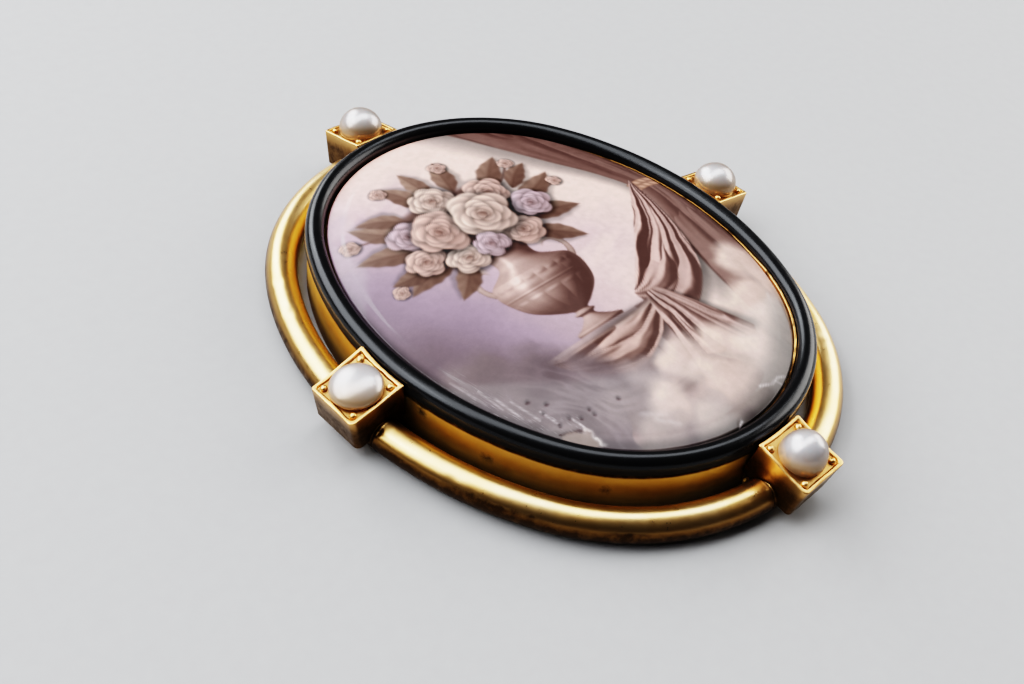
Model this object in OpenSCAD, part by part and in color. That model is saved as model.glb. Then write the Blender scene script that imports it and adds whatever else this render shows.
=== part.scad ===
// Oval miniature brooch, lying on its back. Millimetres, +Z up, the resting plane is z = 0.
// +Y is the top of the brooch as it is worn and +X is its right side.
// Every oval is the tube's centreline moved in or out, so they all share four arc centres.

/* [Outer tube] */
// Length of the tube's centreline, top to bottom
oval_length = 46.4; // [44:0.2:48]
// Width of the tube's centreline, side to side
oval_width = 38.9; // [37.5:0.1:40]
// Radius of the centreline's arcs at the top and the bottom
end_radius = 18.1; // [17:0.1:18.5]
// Diameter of the gold tube
tube_d = 2.54; // [2.2:0.02:2.8]

/* [Case] */
// Distance from the tube's centreline in to the outside of the case wall
wall_inset = 2.0; // [1.9:0.05:2.1]
// Thickness of the case wall
wall_t = 0.7; // [0.5:0.1:1]
// Height of the flange's top, which carries the black ring
flange_top = 4.17; // [4:0.01:4.4]
// Thickness of the flange
flange_t = 0.28; // [0.2:0.02:0.4]
// Width of the flange, from the lip under the black ring in to the ledge under the plaque
flange_w = 2.7; // [2.4:0.1:3]
// Height of the closed back's underside above the resting plane
back_z = 2.3; // [2:0.1:2.6]
// Thickness of the closed back
back_t = 0.4; // [0.3:0.1:0.6]

/* [Black ring and bezel] */
// Distance from the tube's centreline in to the middle of the black ring
ring_inset = 2.55; // [2.5:0.01:2.6]
// Width of the black ring
ring_w = 1.5; // [1.4:0.02:1.56]
// Height of the black ring from its foot to its crown
ring_h = 1.42; // [1.2:0.02:1.6]
// Thickness of the gold bezel inside the black ring
bezel_t = 0.2; // [0.14:0.02:0.26]
// Height of the bezel
bezel_h = 0.86; // [0.7:0.02:1]

/* [Miniature] */
// Height of the plaque's straight edge
plaque_edge = 0.62; // [0.5:0.02:0.8]
// Rise of the dome from the edge to the middle
dome_rise = 1.2; // [0.8:0.05:1.5]
// Fullness of the dome: higher is flatter in the middle and steeper near the edge
dome_power = 3.4; // [2:0.2:5]
// Points round the dome
dome_sides = 84; // [60:12:96]
// Rings of points from the middle of the dome to its edge
dome_rings = 9; // [7:1:11]
// How the rings of points crowd towards the edge: 1 spaces them evenly
dome_crowd = 1.4; // [1:0.1:1.6]

/* [Collets] */
// Side of a square collet
collet_s = 4.5; // [4.3:0.05:4.6]
// Foot of a collet above the tube's axis, along the collet
collet_foot = 0.2; // [0:0.05:0.4]
// Rim of a collet above the tube's axis, along the collet
collet_rim = 3.33; // [3.2:0.01:3.5]
// Outward lean of a collet, in degrees
collet_lean = 11.7; // [10:0.1:13]
// Distance that a collet's axis is moved in from the tube's centreline
collet_inset = 0.03; // [0:0.01:0.08]
// Thickness of a collet's rim
rim_t = 0.3; // [0.25:0.05:0.35]
// Depth of a collet's floor below the rim
floor_depth = 0.5; // [0.4:0.05:0.6]
// Diameter of a corner grain
grain_d = 0.54; // [0.4:0.02:0.56]
// Distance of a corner grain from the collet's axis, along X and along Y
grain_at = 1.62; // [1.6:0.01:1.66]
// Width of a grain's top as a share of its foot
grain_taper = 0.7; // [0.5:0.05:0.9]

/* [Pearls] */
// Diameter of the three round pearls
pearl_d = 3.66; // [3.5:0.02:3.7]
// Middle of a round pearl above the collet's rim
pearl_up = 0.28; // [0.2:0.02:0.4]
// Diameter of the flat pearl on the left
button_d = 3.72; // [3.5:0.02:3.76]
// Height of the flat pearl's crown above the collet's rim
button_up = 0.95; // [0.8:0.05:1.1]
// Height of the flat pearl's straight side above the collet's rim
button_side = 0.1; // [0:0.05:0.2]

/* [Pin] */
// Diameter of the pin's stem
stem_d = 0.9; // [0.8:0.05:1]
// Height of the stem's axis above the resting plane
stem_z = 0.95; // [0.9:0.05:1]
// Distance of the stem above the middle of the brooch, towards the top
stem_y = 3; // [0:0.5:5]
// Distance of the hinge and of the catch from the middle, along X
fitting_x = 12.6; // [11:0.2:13]
// Length of the hinge block, along X
hinge_l = 2; // [1.6:0.1:2.4]
// Width of the hinge block, along Y
hinge_w = 3; // [2.4:0.1:3.6]
// Length of the catch block, along X
catch_l = 1.2; // [0.8:0.1:1.6]
// Width of the catch block, along Y
catch_w = 2.2; // [1.8:0.1:2.8]
// Length of the pointed tip past the catch's axis
tip_l = 1.9; // [1.5:0.1:2.2]

/* [Hidden] */
$fn = 96;
gap = 0.03;      // clearance between loose pieces
past = 1;        // how far a cutter runs past the face that it opens
seam_w = 0.3;    // width of a closed seam
seam_up = 0.01;  // how far a seam stands proud of the surface
lip = 0.03;      // how far the flange shows past the black ring, as a fine line
under = 0.25;    // wall of the pin's hinge and catch below the stem

// The four-centred oval: end arcs round (0, +-end_c), side arcs round (+-side_c, 0)
half_l = oval_length / 2;
half_w = oval_width / 2;
end_c = half_l - end_radius;
side_c = (end_c * end_c - pow(half_w - end_radius, 2)) / (2 * (half_w - end_radius));
side_radius = half_w + side_c;
// Half the angle that an end arc spans, measured from Y
end_a = atan2(side_c, end_c);

tube_r = tube_d / 2;
flange_z = flange_top - flange_t;
seat_z = flange_top + gap;                   // foot of the ring, the bezel and the plaque
ring_outer = -ring_inset + ring_w / 2;       // offsets from the tube's centreline
ring_inner = -ring_inset - ring_w / 2;
bezel_outer = ring_inner - gap;
plaque_rim = bezel_outer - bezel_t - gap;
flange_outer = ring_outer + lip;
flange_inner = flange_outer - flange_w;
collet_floor = collet_rim - floor_depth;

// A point on the oval that lies out from the tube's centreline, where its normal has angle a from X
function oval_point(a, out) =
    abs(sin(a)) > cos(end_a)
        ? [(end_radius + out) * cos(a), sign(sin(a)) * end_c + (end_radius + out) * sin(a)]
        : [-sign(cos(a)) * side_c + (side_radius + out) * cos(a), (side_radius + out) * sin(a)];

// The filled oval that lies out from the tube's centreline
module oval_area(out) {
    joint_y = end_c + (end_radius + out) * cos(end_a);
    end_h = half_l + out + past - joint_y;
    intersection() {
        translate([-side_c, 0]) circle(side_radius + out);
        translate([side_c, 0]) circle(side_radius + out);
        square([2 * half_w, 2 * joint_y], center = true);
    }
    for (s = [-1, 1])
        intersection() {
            translate([0, s * end_c]) circle(end_radius + out);
            translate([0, s * (joint_y + end_h / 2)]) square([2 * half_w, end_h], center = true);
        }
}

// A straight oval wall or plate between two heights
module oval_band(outer, inner, z0, z1) {
    translate([0, 0, z0])
        linear_extrude(z1 - z0)
            difference() {
                oval_area(outer);
                oval_area(inner);
            }
}

// The first profile, carried once round the tube's centreline: its x is the distance out, its y the
// height. The second, a hair fuller, closes the four seams between the arcs.
module oval_sweep() {
    for (s = [0, 180])
        rotate([0, 0, s]) {
            translate([0, end_c, 0])
                rotate_extrude(angle = 2 * end_a, start = 90 - end_a)
                    translate([end_radius, 0]) children(0);
            translate([-side_c, 0, 0])
                rotate_extrude(angle = 180 - 2 * end_a, start = end_a - 90)
                    translate([side_radius, 0]) children(0);
        }
    for (a = [90 - end_a, 90 + end_a, 270 - end_a, 270 + end_a])
        translate([each oval_point(a, 0), 0])
            rotate([90, 0, a])
                linear_extrude(seam_w, center = true) children(1);
}

// Places a piece on collet i: 0 right, 1 top, 2 left, 3 bottom. Its own z runs up the leaning collet.
module on_collet(i) {
    rotate([0, 0, 90 * i])
        translate([(i % 2 == 0 ? half_w : half_l) - collet_inset, 0, tube_r])
            rotate([0, collet_lean, 0])
                children();
}

// A square box collet, open at the top, with a grain in each corner
module collet() {
    well = collet_s - 2 * rim_t;
    difference() {
        translate([-collet_s / 2, -collet_s / 2, collet_foot])
            cube([collet_s, collet_s, collet_rim - collet_foot]);
        translate([-well / 2, -well / 2, collet_floor])
            cube([well, well, floor_depth + past]);
    }
    for (x = [-1, 1], y = [-1, 1])
        translate([x * grain_at, y * grain_at, collet_floor - gap])
            cylinder(h = floor_depth + gap, d1 = grain_d, d2 = grain_d * grain_taper, $fn = 24);
}

module frame() {
    color([0.86, 0.66, 0.3]) {
        oval_sweep() {
            translate([0, tube_r]) circle(tube_r, $fn = 48);
            translate([0, tube_r]) circle(tube_r + seam_up, $fn = 48);
        }
        oval_band(-wall_inset, -wall_inset - wall_t, 0, flange_z);
        oval_band(flange_outer, flange_inner, flange_z, flange_top);
        translate([0, 0, back_z])
            linear_extrude(back_t)
                oval_area(-wall_inset - wall_t / 2);
        for (i = [0:3]) on_collet(i) collet();
    }
}

// The black ring's section: a half-round crown on a straight foot
module ring_profile(grow) {
    w = ring_w + 2 * grow;
    translate([-ring_inset, seat_z]) {
        translate([0, ring_h - ring_w / 2])
            intersection() {
                circle(d = w, $fn = 48);
                translate([-w / 2, 0]) square([w, w / 2]);
            }
        translate([-w / 2, 0]) square([w, ring_h - ring_w / 2]);
    }
}

module enamel_ring() {
    color([0.05, 0.05, 0.07])
        oval_sweep() {
            ring_profile(0);
            ring_profile(seam_up);
        }
}

module bezel() {
    color([0.86, 0.66, 0.3])
        oval_band(bezel_outer, bezel_outer - bezel_t, seat_z, seat_z + bezel_h);
}

// The plaque: a flat underside, a straight edge and a dome. The rings of points shrink towards the
// middle as the oval is scaled, and the height falls off from the middle by dome_power.
module miniature() {
    edge_z = seat_z + plaque_edge;
    turn = 360 / dome_sides;
    ring_points = [
        for (k = [0:dome_rings - 1], i = [0:dome_sides - 1])
            let (f = 1 - pow(k / dome_rings, dome_crowd), p = oval_point((i + 0.5) * turn, plaque_rim) * f)
            [p.x, p.y, edge_z + dome_rise * (1 - pow(f, dome_power))]
    ];
    foot_points = [for (i = [0:dome_sides - 1]) [each oval_point((i + 0.5) * turn, plaque_rim), seat_z]];
    crown = len(ring_points);
    foot = crown + 1;
    function next(i) = (i + 1) % dome_sides;
    faces = [
        for (k = [0:dome_rings - 2], i = [0:dome_sides - 1])
            [k * dome_sides + i, (k + 1) * dome_sides + i,
             (k + 1) * dome_sides + next(i), k * dome_sides + next(i)],
        for (i = [0:dome_sides - 1])
            [(dome_rings - 1) * dome_sides + i, crown, (dome_rings - 1) * dome_sides + next(i)],
        for (i = [0:dome_sides - 1]) [foot + i, i, next(i), foot + next(i)],
        [for (i = [0:dome_sides - 1]) foot + i]
    ];
    color([0.72, 0.64, 0.68])
        polyhedron(concat(ring_points, [[0, 0, edge_z + dome_rise]], foot_points), faces, convexity = 4);
}

// A round pearl, cut flat where it sits on the collet's floor
module round_pearl() {
    foot = collet_floor + gap;
    middle = collet_rim + pearl_up;
    color([0.9, 0.88, 0.86])
        rotate_extrude()
            intersection() {
                translate([0, middle]) circle(d = pearl_d, $fn = 72);
                translate([0, foot]) square([pearl_d, pearl_d]);
            }
}

// A flat button pearl: the cap of a large ball over a short straight side
module button_pearl() {
    foot = collet_floor + gap;
    side_top = collet_rim + button_side;
    cap_h = collet_rim + button_up - side_top;
    cap_r = (pow(button_d / 2, 2) + cap_h * cap_h) / (2 * cap_h);
    color([0.9, 0.88, 0.86])
        rotate_extrude()
            intersection() {
                translate([0, side_top + cap_h - cap_r]) circle(cap_r, $fn = 120);
                translate([0, foot]) square([button_d / 2, button_up + floor_depth]);
            }
}

// Hinge, stem and catch in one piece, under the closed back
module pin() {
    fitting_top = back_z - gap;
    fitting_foot = stem_z - stem_d / 2 - under;
    fitting_h = fitting_top - fitting_foot;
    color([0.8, 0.6, 0.3]) {
        translate([fitting_x - hinge_l / 2, stem_y - hinge_w / 2, fitting_foot])
            cube([hinge_l, hinge_w, fitting_h]);
        translate([-fitting_x - catch_l / 2, stem_y - catch_w / 2, fitting_foot])
            cube([catch_l, catch_w, fitting_h]);
        translate([-fitting_x, stem_y, stem_z]) {
            rotate([0, 90, 0]) cylinder(h = 2 * fitting_x, d = stem_d, $fn = 32);
            rotate([0, -90, 0]) cylinder(h = tip_l, d1 = stem_d, d2 = stem_d / 4, $fn = 32);
        }
    }
}

frame();
enamel_ring();
bezel();
miniature();
on_collet(0) round_pearl();  // pearl_right
on_collet(1) round_pearl();  // pearl_top
on_collet(2) button_pearl();  // pearl_left
on_collet(3) round_pearl();  // pearl_bottom
pin();
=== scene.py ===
# %% [markdown]
# # An oval miniature brooch, dressed for its portrait
# The brooch lies on its back: a domed painted plaque in a black ring and a gold case, held inside a
# thick gold tube by four square collets with a pearl each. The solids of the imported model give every
# size and place. This notebook makes the finer surfaces that a camera notices, such as worn tube,
# rolled edges, pearls and the painting, and sets each one where its solid is.

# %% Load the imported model
import math

import bpy
import numpy as np
from mathutils import Matrix, Vector


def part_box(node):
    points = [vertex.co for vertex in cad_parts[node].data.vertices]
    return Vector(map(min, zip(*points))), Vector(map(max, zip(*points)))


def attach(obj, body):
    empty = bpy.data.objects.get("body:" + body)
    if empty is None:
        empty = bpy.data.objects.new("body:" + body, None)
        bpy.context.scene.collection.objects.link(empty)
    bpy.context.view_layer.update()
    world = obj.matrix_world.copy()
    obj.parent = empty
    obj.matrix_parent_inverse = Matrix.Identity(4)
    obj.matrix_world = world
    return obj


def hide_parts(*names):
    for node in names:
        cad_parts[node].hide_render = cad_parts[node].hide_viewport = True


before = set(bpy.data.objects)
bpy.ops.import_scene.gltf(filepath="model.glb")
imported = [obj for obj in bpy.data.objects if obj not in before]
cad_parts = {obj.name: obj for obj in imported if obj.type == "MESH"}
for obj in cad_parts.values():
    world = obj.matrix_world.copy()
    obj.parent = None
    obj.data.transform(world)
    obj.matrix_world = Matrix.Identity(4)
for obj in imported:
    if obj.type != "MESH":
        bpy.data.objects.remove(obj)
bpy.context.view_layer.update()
MM = 0.001

# %% [markdown]
# ## Camera
# The picture was taken from close by, over the brooch's lower left side, with the camera tipped a few
# degrees. A near camera makes the near collets large and the far ones small, so its distance matters
# as much as its angle. All values were found by fitting the oval's outlines.

# %% Camera
CAMERA_TURN = math.radians(-51.28)  # from straight below the brooch, round Z
CAMERA_RISE = math.radians(43.14)   # above the floor
CAMERA_ROLL = math.radians(9.65)    # about its own line of sight
CAMERA_AWAY = 90.64 * MM
CAMERA_AIM = np.array([-7.58, -2.83, 3.71]) * MM
LENS = 43.05
SENSOR = 36.0


def add_camera():
    """Places the camera on the line that leaves the aim at the turn and the rise above the floor, and
    rolls the picture about that line."""
    back = np.array([
        math.sin(CAMERA_TURN) * math.cos(CAMERA_RISE),
        -math.cos(CAMERA_TURN) * math.cos(CAMERA_RISE),
        math.sin(CAMERA_RISE),
    ])
    right = np.array([math.cos(CAMERA_TURN), math.sin(CAMERA_TURN), 0.0])
    up = np.cross(back, right)
    across = math.cos(CAMERA_ROLL) * right + math.sin(CAMERA_ROLL) * up
    upward = -math.sin(CAMERA_ROLL) * right + math.cos(CAMERA_ROLL) * up
    place = Matrix.Identity(4)
    for i, column in enumerate((across, upward, back, CAMERA_AIM + back * CAMERA_AWAY)):
        for j in range(3):
            place[j][i] = column[j]
    data = bpy.data.cameras.new("camera")
    data.lens = LENS
    data.sensor_width = SENSOR
    data.sensor_fit = "HORIZONTAL"
    data.clip_start = 1 * MM
    data.clip_end = 10.0
    camera = bpy.data.objects.new("camera", data)
    camera.matrix_world = place
    bpy.context.scene.collection.objects.link(camera)
    bpy.context.scene.camera = camera
    return back


camera_back = add_camera()
print("camera in mm:", (CAMERA_AIM + camera_back * CAMERA_AWAY) / MM)

# %% [markdown]
# ## Meshes from arrays
# Each surface here is a grid of points that numpy works out at once. Blender's own primitives and
# modifiers could make similar ones, but a formula keeps every size in sight and gives exact places for
# wear. One helper numbers the quads of such a grid, and another keeps points and faces together.

# %% Grid helpers
def grid_faces(rows, columns, wrap_rows=False, wrap_columns=False):
    """Quads of a grid whose point (i, j) has the number i * columns + j. A wrapped direction joins
    its last line of points to its first."""
    i, j = np.meshgrid(
        np.arange(rows if wrap_rows else rows - 1),
        np.arange(columns if wrap_columns else columns - 1),
        indexing="ij",
    )
    i2, j2 = (i + 1) % rows, (j + 1) % columns
    corners = [i * columns + j, i2 * columns + j, i2 * columns + j2, i * columns + j2]
    return np.stack(corners, -1).reshape(-1, 4)


def shell(points, quads, tris=None):
    """A shell is a dictionary of its points, quads and triangles."""
    tris = np.zeros((0, 3), int) if tris is None else tris
    return {"points": np.asarray(points, float).reshape(-1, 3), "quads": quads, "tris": tris}


print("quads of an open grid of 3 by 4 points:", len(grid_faces(3, 4)))

# %% [markdown]
# ### Closed shells
# Every piece here is a closed shell, as a real body is. A ring closes itself, because its grid wraps
# both ways. A ball, a box or a case is a stack of rings, and a fan of triangles closes the first and
# the last of them.

# %% Closed shells
def ring_shell(points):
    """A closed tube from a grid of points that wraps both ways."""
    rows, columns = points.shape[:2]
    return shell(points, grid_faces(rows, columns, True, True))


def capped_shell(points, first, last):
    """Rings of points, counter-clockwise from above, from a lower pole to an upper one. A fan closes
    each end."""
    rows, columns = points.shape[:2]
    j = np.arange(columns)
    j2 = (j + 1) % columns
    first_id, last_id, end = rows * columns, rows * columns + 1, (rows - 1) * columns
    fans = np.concatenate([
        np.stack([np.full(columns, first_id), j2, j], -1),
        np.stack([np.full(columns, last_id), end + j, end + j2], -1),
    ])
    every = np.concatenate([points.reshape(-1, 3), [first], [last]])
    return shell(every, grid_faces(rows, columns, False, True)[:, ::-1], fans)


def ball_points(rows, columns):
    """Unit sphere without its poles: (sin v cos u, sin v sin u, -cos v)."""
    v = np.linspace(0, math.pi, rows + 2)[1:-1, None]
    u = np.linspace(0, 2 * math.pi, columns, endpoint=False)[None, :]
    return np.stack(np.broadcast_arrays(np.sin(v) * np.cos(u), np.sin(v) * np.sin(u), -np.cos(v)), -1)


def ball_shell(middle, size, rows=9, columns=14):
    """A ball or, with three sizes, an egg."""
    size, middle = np.broadcast_to(size, 3), np.array(middle)
    points = ball_points(rows, columns) * size + middle
    return capped_shell(points, middle - [0, 0, size[2]], middle + [0, 0, size[2]])


print("triangles at a small ball's poles:", len(ball_shell((0, 0, 0), 1)["tris"]))

# %% [markdown]
# ### Joining and measuring
# Pieces that are one body, such as a collet and its grains, are joined as arrays before Blender sees
# them. The volume that a closed shell encloses is positive only when its faces point outwards, so it is
# worked out for each piece.

# %% Joining and measuring
def joined(shells):
    """Several shells as one, with each one's numbers moved up past those before it."""
    start = np.cumsum([0] + [len(s["points"]) for s in shells[:-1]])
    return {
        "points": np.concatenate([s["points"] for s in shells]),
        "quads": np.concatenate([s["quads"] + n for s, n in zip(shells, start)]),
        "tris": np.concatenate([s["tris"] + n for s, n in zip(shells, start)]),
    }


def enclosed(s):
    """Volume from the sum of signed tetrahedra between the origin and each triangle."""
    p, q = s["points"], s["quads"]
    tris = np.concatenate([q[:, [0, 1, 2]], q[:, [0, 2, 3]], s["tris"]])
    a, b, c = p[tris[:, 0]], p[tris[:, 1]], p[tris[:, 2]]
    return float((a * np.cross(b, c)).sum() / 6)


ball_volume = enclosed(ball_shell((0, 0, 0), 1, 48, 96))
print(f"a ball of radius 1 encloses {ball_volume:.3f}, and 4/3 pi is {4 / 3 * math.pi:.3f}")

# %% [markdown]
# ### From arrays to a piece
# Blender takes vertices one by one, or a whole array at once with foreach_set, which is far faster. The
# same helper gives the object its finish, lets it ride on the brooch's only body, and hides the solid of
# the model that it stands for. A second one writes numbers such as wear and painted shade to the mesh's
# points.

# %% Making a piece
def make_piece(name, s, finish, slot, *nodes):
    """Makes the object of a shell, gives it its finish and hides the model's nodes that it stands for."""
    volume = enclosed(s)
    mesh = bpy.data.meshes.new(name)
    corners = np.concatenate([s["quads"].ravel(), s["tris"].ravel()])
    sides = np.concatenate([np.full(len(s["quads"]), 4), np.full(len(s["tris"]), 3)])
    mesh.vertices.add(len(s["points"]))
    mesh.vertices.foreach_set("co", s["points"].ravel())
    mesh.loops.add(len(corners))
    mesh.loops.foreach_set("vertex_index", corners)
    mesh.polygons.add(len(sides))
    mesh.polygons.foreach_set("loop_start", np.concatenate([[0], np.cumsum(sides)[:-1]]))
    mesh.polygons.foreach_set("use_smooth", np.ones(len(sides), bool))
    mesh.update(calc_edges=True)
    mesh.materials.append(finish)
    piece = bpy.data.objects.new(name, mesh)
    bpy.context.scene.collection.objects.link(piece)
    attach(piece, "root")
    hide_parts(*nodes)
    triangles = 2 * len(s["quads"]) + len(s["tris"])
    print(f"{name}: {triangles} triangles, {volume / MM ** 3:.1f} mm3")
    return piece


def set_values(piece, **layers):
    """Gives the points of a mesh named numbers from 0 to 1."""
    for name, values in layers.items():
        layer = piece.data.attributes.new(name, "FLOAT", "POINT")
        layer.data.foreach_set("value", np.clip(np.ravel(values), 0, 1).astype(np.float32))


# %% [markdown]
# ## Rounded profiles
# Metal edges are never knife sharp: a small radius catches a line of light. A Bevel modifier would do
# it too, but a profile with its own arcs keeps the grid regular. A profile is a short list of corners
# with a radius each. Each corner becomes an arc with a support point a little before and after it, so
# that smooth shading stays inside the arc and the flats stay flat.

# %% Rounded profile
ARC_STEPS = 5
SUPPORT = 0.35  # a support point's distance from its arc, as a share of the radius


def rounded(corners, closed=True):
    """Each corner (x, y, radius) is cut back along both sides by its radius over the tangent of half
    its angle. The arc over the cut swings from the one cut point to the other about its middle."""
    table = np.array(corners, float)
    points, count = [], len(table)
    for k, (x, y, radius) in enumerate(table):
        here = np.array([x, y])
        if radius == 0 or (not closed and k in (0, count - 1)):
            points.append(here)
            continue
        before = table[k - 1, :2] - here
        after = table[(k + 1) % count, :2] - here
        before /= np.linalg.norm(before)
        after /= np.linalg.norm(after)
        half = math.acos(np.clip(before @ after, -1, 1)) / 2
        cut = radius / math.tan(half)
        middle = here + (before + after) / np.linalg.norm(before + after) * radius / math.sin(half)
        start, end = here + before * cut - middle, here + after * cut - middle
        turn = math.pi - 2 * half
        share = np.linspace(0, 1, ARC_STEPS)[:, None]
        arc = (np.sin((1 - share) * turn) * start + np.sin(share * turn) * end) / math.sin(turn)
        points.append(here + before * (cut + SUPPORT * radius))
        points.extend(middle + arc)
        points.append(here + after * (cut + SUPPORT * radius))
    return np.array(points)


square = [(0, 0, 1), (9, 0, 1), (9, 9, 1), (0, 9, 1)]
print("points round a square with rounded corners:", len(rounded(square)))

# %% [markdown]
# ## The four-centred oval
# A goldsmith's oval is drawn with compasses: two small arcs at the ends and two large ones at the
# sides. Every ring of this brooch is the same oval moved in or out. A point is named by the direction
# of its outward normal, because moving in or out then leaves that name unchanged.

# %% Oval sizes from the frame
ring_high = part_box("enamel_ring")[1]
RING_IN = 1.8 * MM        # from the tube's centreline in to the black ring's outer edge
END_RADIUS = 18.1 * MM    # of the centreline's arcs at the top and the bottom
HALF_L = ring_high.y + RING_IN
HALF_W = ring_high.x + RING_IN
END_C = HALF_L - END_RADIUS
SIDE_C = (END_C ** 2 - (HALF_W - END_RADIUS) ** 2) / (2 * (HALF_W - END_RADIUS))
SIDE_RADIUS = HALF_W + SIDE_C
END_REACH = math.atan2(SIDE_C, END_C)  # half the angle that an end arc spans
print(f"centreline {2 * HALF_L / MM:.2f} by {2 * HALF_W / MM:.2f} mm")
print(f"its side arcs have a radius of {SIDE_RADIUS / MM:.2f} mm")


def on_end(angle):
    """True where a normal belongs to an end arc, which spans its reach on both sides of the Y axis."""
    return np.abs(np.sin(angle)) > math.cos(END_REACH)


def oval(angle, out=0.0):
    """The point whose normal has that angle: an arc's centre plus (its radius + out) times the normal."""
    angle, out = np.broadcast_arrays(np.asarray(angle, float), out)
    normal = np.stack([np.cos(angle), np.sin(angle)], -1)
    end = normal * (END_RADIUS + out)[..., None]
    end[..., 1] += np.sign(normal[..., 1]) * END_C
    side = normal * (SIDE_RADIUS + out)[..., None]
    side[..., 0] -= np.sign(normal[..., 0]) * SIDE_C
    return np.where(on_end(angle)[..., None], end, side)


# %% [markdown]
# ### Steps along the oval
# Equal steps of angle would crowd on the side arcs' ends, so pieces take equal steps of length along the
# centreline. A fine table of length against angle, read backwards, turns each into a normal's angle.

# %% Steps along the oval
FINE = np.linspace(0, 2 * math.pi, 7201)
fine_radius = np.where(on_end((FINE[1:] + FINE[:-1]) / 2), END_RADIUS, SIDE_RADIUS)
FINE_ALONG = np.concatenate([[0], np.cumsum(fine_radius * np.diff(FINE))])
ROUND = FINE_ALONG[-1]
print(f"the centreline is {ROUND / MM:.1f} mm long")


def angle_at(along):
    """The normal's angle at a distance along the centreline from the right end: the inverse of the
    radius summed over the angle."""
    return np.interp(np.mod(along, ROUND), FINE_ALONG, FINE)


def swept(profile, angles):
    """Carries a profile of (out, height) round the oval at the given normal angles."""
    flat = oval(angles[:, None], profile[None, :, 0])
    height = np.broadcast_to(profile[None, :, 1, None], flat.shape[:2] + (1,))
    return np.concatenate([flat, height], -1)


def ripple(x, terms):
    """A sum of sines, one for each (amplitude, waves, phase)."""
    return sum(a * np.sin(n * x + p) for a, n, p in terms)


def bell(x, width):
    """1 in the middle, falling off as e to the minus (x over the width) squared."""
    return np.exp(-(x / width) ** 2)


def band(x, start, full, last, end):
    """Rises straight from 0 at start to 1 at full, stays, and falls straight from 1 at last to 0 at end."""
    return np.clip((x - start) / (full - start), 0, 1) * np.clip((end - x) / (end - last), 0, 1)


# %% [markdown]
# ## Finishes
# Each finish is one small node tree on the Principled shader. Pictures of real metal could be wrapped
# round the pieces instead, but noise needs no files and stays sharp from close by. The patterns read
# object coordinates, in metres, so a scale of 1000 gives features of about a millimetre.

# %% Shader helpers
def add_node(tree, kind, inputs=None, **settings):
    """Adds a node; an input is either a plain value or another node's output to link."""
    made = tree.nodes.new(kind)
    for key, value in settings.items():
        setattr(made, key, value)
    for key, value in (inputs or {}).items():
        if isinstance(value, bpy.types.NodeSocket):
            tree.links.new(value, made.inputs[key])
        else:
            made.inputs[key].default_value = value
    return made


def new_finish(name, **sockets):
    """A material with the given values on its Principled shader."""
    finish = bpy.data.materials.new(name)
    finish.use_nodes = True
    shader = finish.node_tree.nodes["Principled BSDF"]
    for key, value in sockets.items():
        shader.inputs[key.replace("_", " ")].default_value = value
    return finish, finish.node_tree, shader


def noise(tree, place, scale, detail=3.0, roughness=0.5):
    """Fractal noise from 0 to 1, whose features are about one over the scale in size."""
    inputs = {"Vector": place, "Scale": scale, "Detail": detail, "Roughness": roughness}
    return add_node(tree, "ShaderNodeTexNoise", inputs).outputs["Fac"]


def spread(tree, value, low, high, to_low, to_high):
    """Maps low to high onto to_low to to_high, and clamps what lies outside."""
    inputs = {"Value": value, "From Min": low, "From Max": high, "To Min": to_low, "To Max": to_high}
    return add_node(tree, "ShaderNodeMapRange", inputs).outputs["Result"]


def reckoned(tree, operation, *values):
    """The result of one step of arithmetic on two or three values."""
    return add_node(tree, "ShaderNodeMath", dict(enumerate(values)), operation=operation).outputs[0]


def mixed(tree, factor, a, b, blend="MIX"):
    """Mixes two colours; the Mix node's colour sockets are numbers 6 and 7, and its result is number 2."""
    inputs = {0: factor, 6: a, 7: b}
    return add_node(tree, "ShaderNodeMix", inputs, data_type="RGBA", blend_type=blend).outputs[2]


def bumped(tree, height, distance, before=None):
    """Tilts the normal along the slope of a height from 0 to the distance, on top of an earlier bump."""
    inputs = {"Height": height, "Distance": distance, "Strength": 1.0}
    if before is not None:
        inputs["Normal"] = before
    return add_node(tree, "ShaderNodeBump", inputs).outputs["Normal"]


def object_place(tree):
    """The point's own place on the brooch, in metres."""
    return add_node(tree, "ShaderNodeTexCoord").outputs["Object"]


def point_value(tree, name):
    """A number that the mesh carries at its points."""
    return add_node(tree, "ShaderNodeAttribute", attribute_name=name).outputs["Fac"]


# %% [markdown]
# ### Gold
# Gold has no colour of its own beside its reflections, so its look comes from what it mirrors and how
# blurred. A slow noise moves the metal between a yellower and a redder gold, a finer one makes the polish
# uneven, and a stretched one gives the hair scratches of long wear. Every gold mesh carries two numbers at
# its points, which each piece sets. One mixes in brown as painted shade where the piece lies in shadow or
# mirrors dark. The other mixes in near black for dirt and for deeper painted shade. The tube is worn
# bright, the case is dull and yellow, and the collets are of a redder gold.

# %% Gold finish
PATCHES, POLISH, HAIRS = 230.0, 1500.0, 420.0  # scales of the three noises
# Brown of the painted shade, and the near black of dirt and of deeper painted shade
SHADE_BROWN, WEAR_AND_SHADE_DARK = (0.18, 0.095, 0.032, 1), (0.035, 0.018, 0.009, 1)
# Each gold: pale and deep colour, least and most roughness, and the scratches' depth in metres
GOLDS = {
    "tube_gold": ((0.96, 0.64, 0.30, 1), (0.93, 0.56, 0.21, 1), 0.27, 0.33, 8e-7),
    "case_gold": ((0.80, 0.58, 0.21, 1), (0.70, 0.48, 0.15, 1), 0.42, 0.52, 1.2e-6),
    "collet_gold": ((0.85, 0.50, 0.20, 1), (0.77, 0.41, 0.135, 1), 0.28, 0.36, 6e-7),
    "back_gold": ((0.85, 0.60, 0.26, 1), (0.72, 0.46, 0.18, 1), 0.30, 0.45, 4e-6),
}


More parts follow.
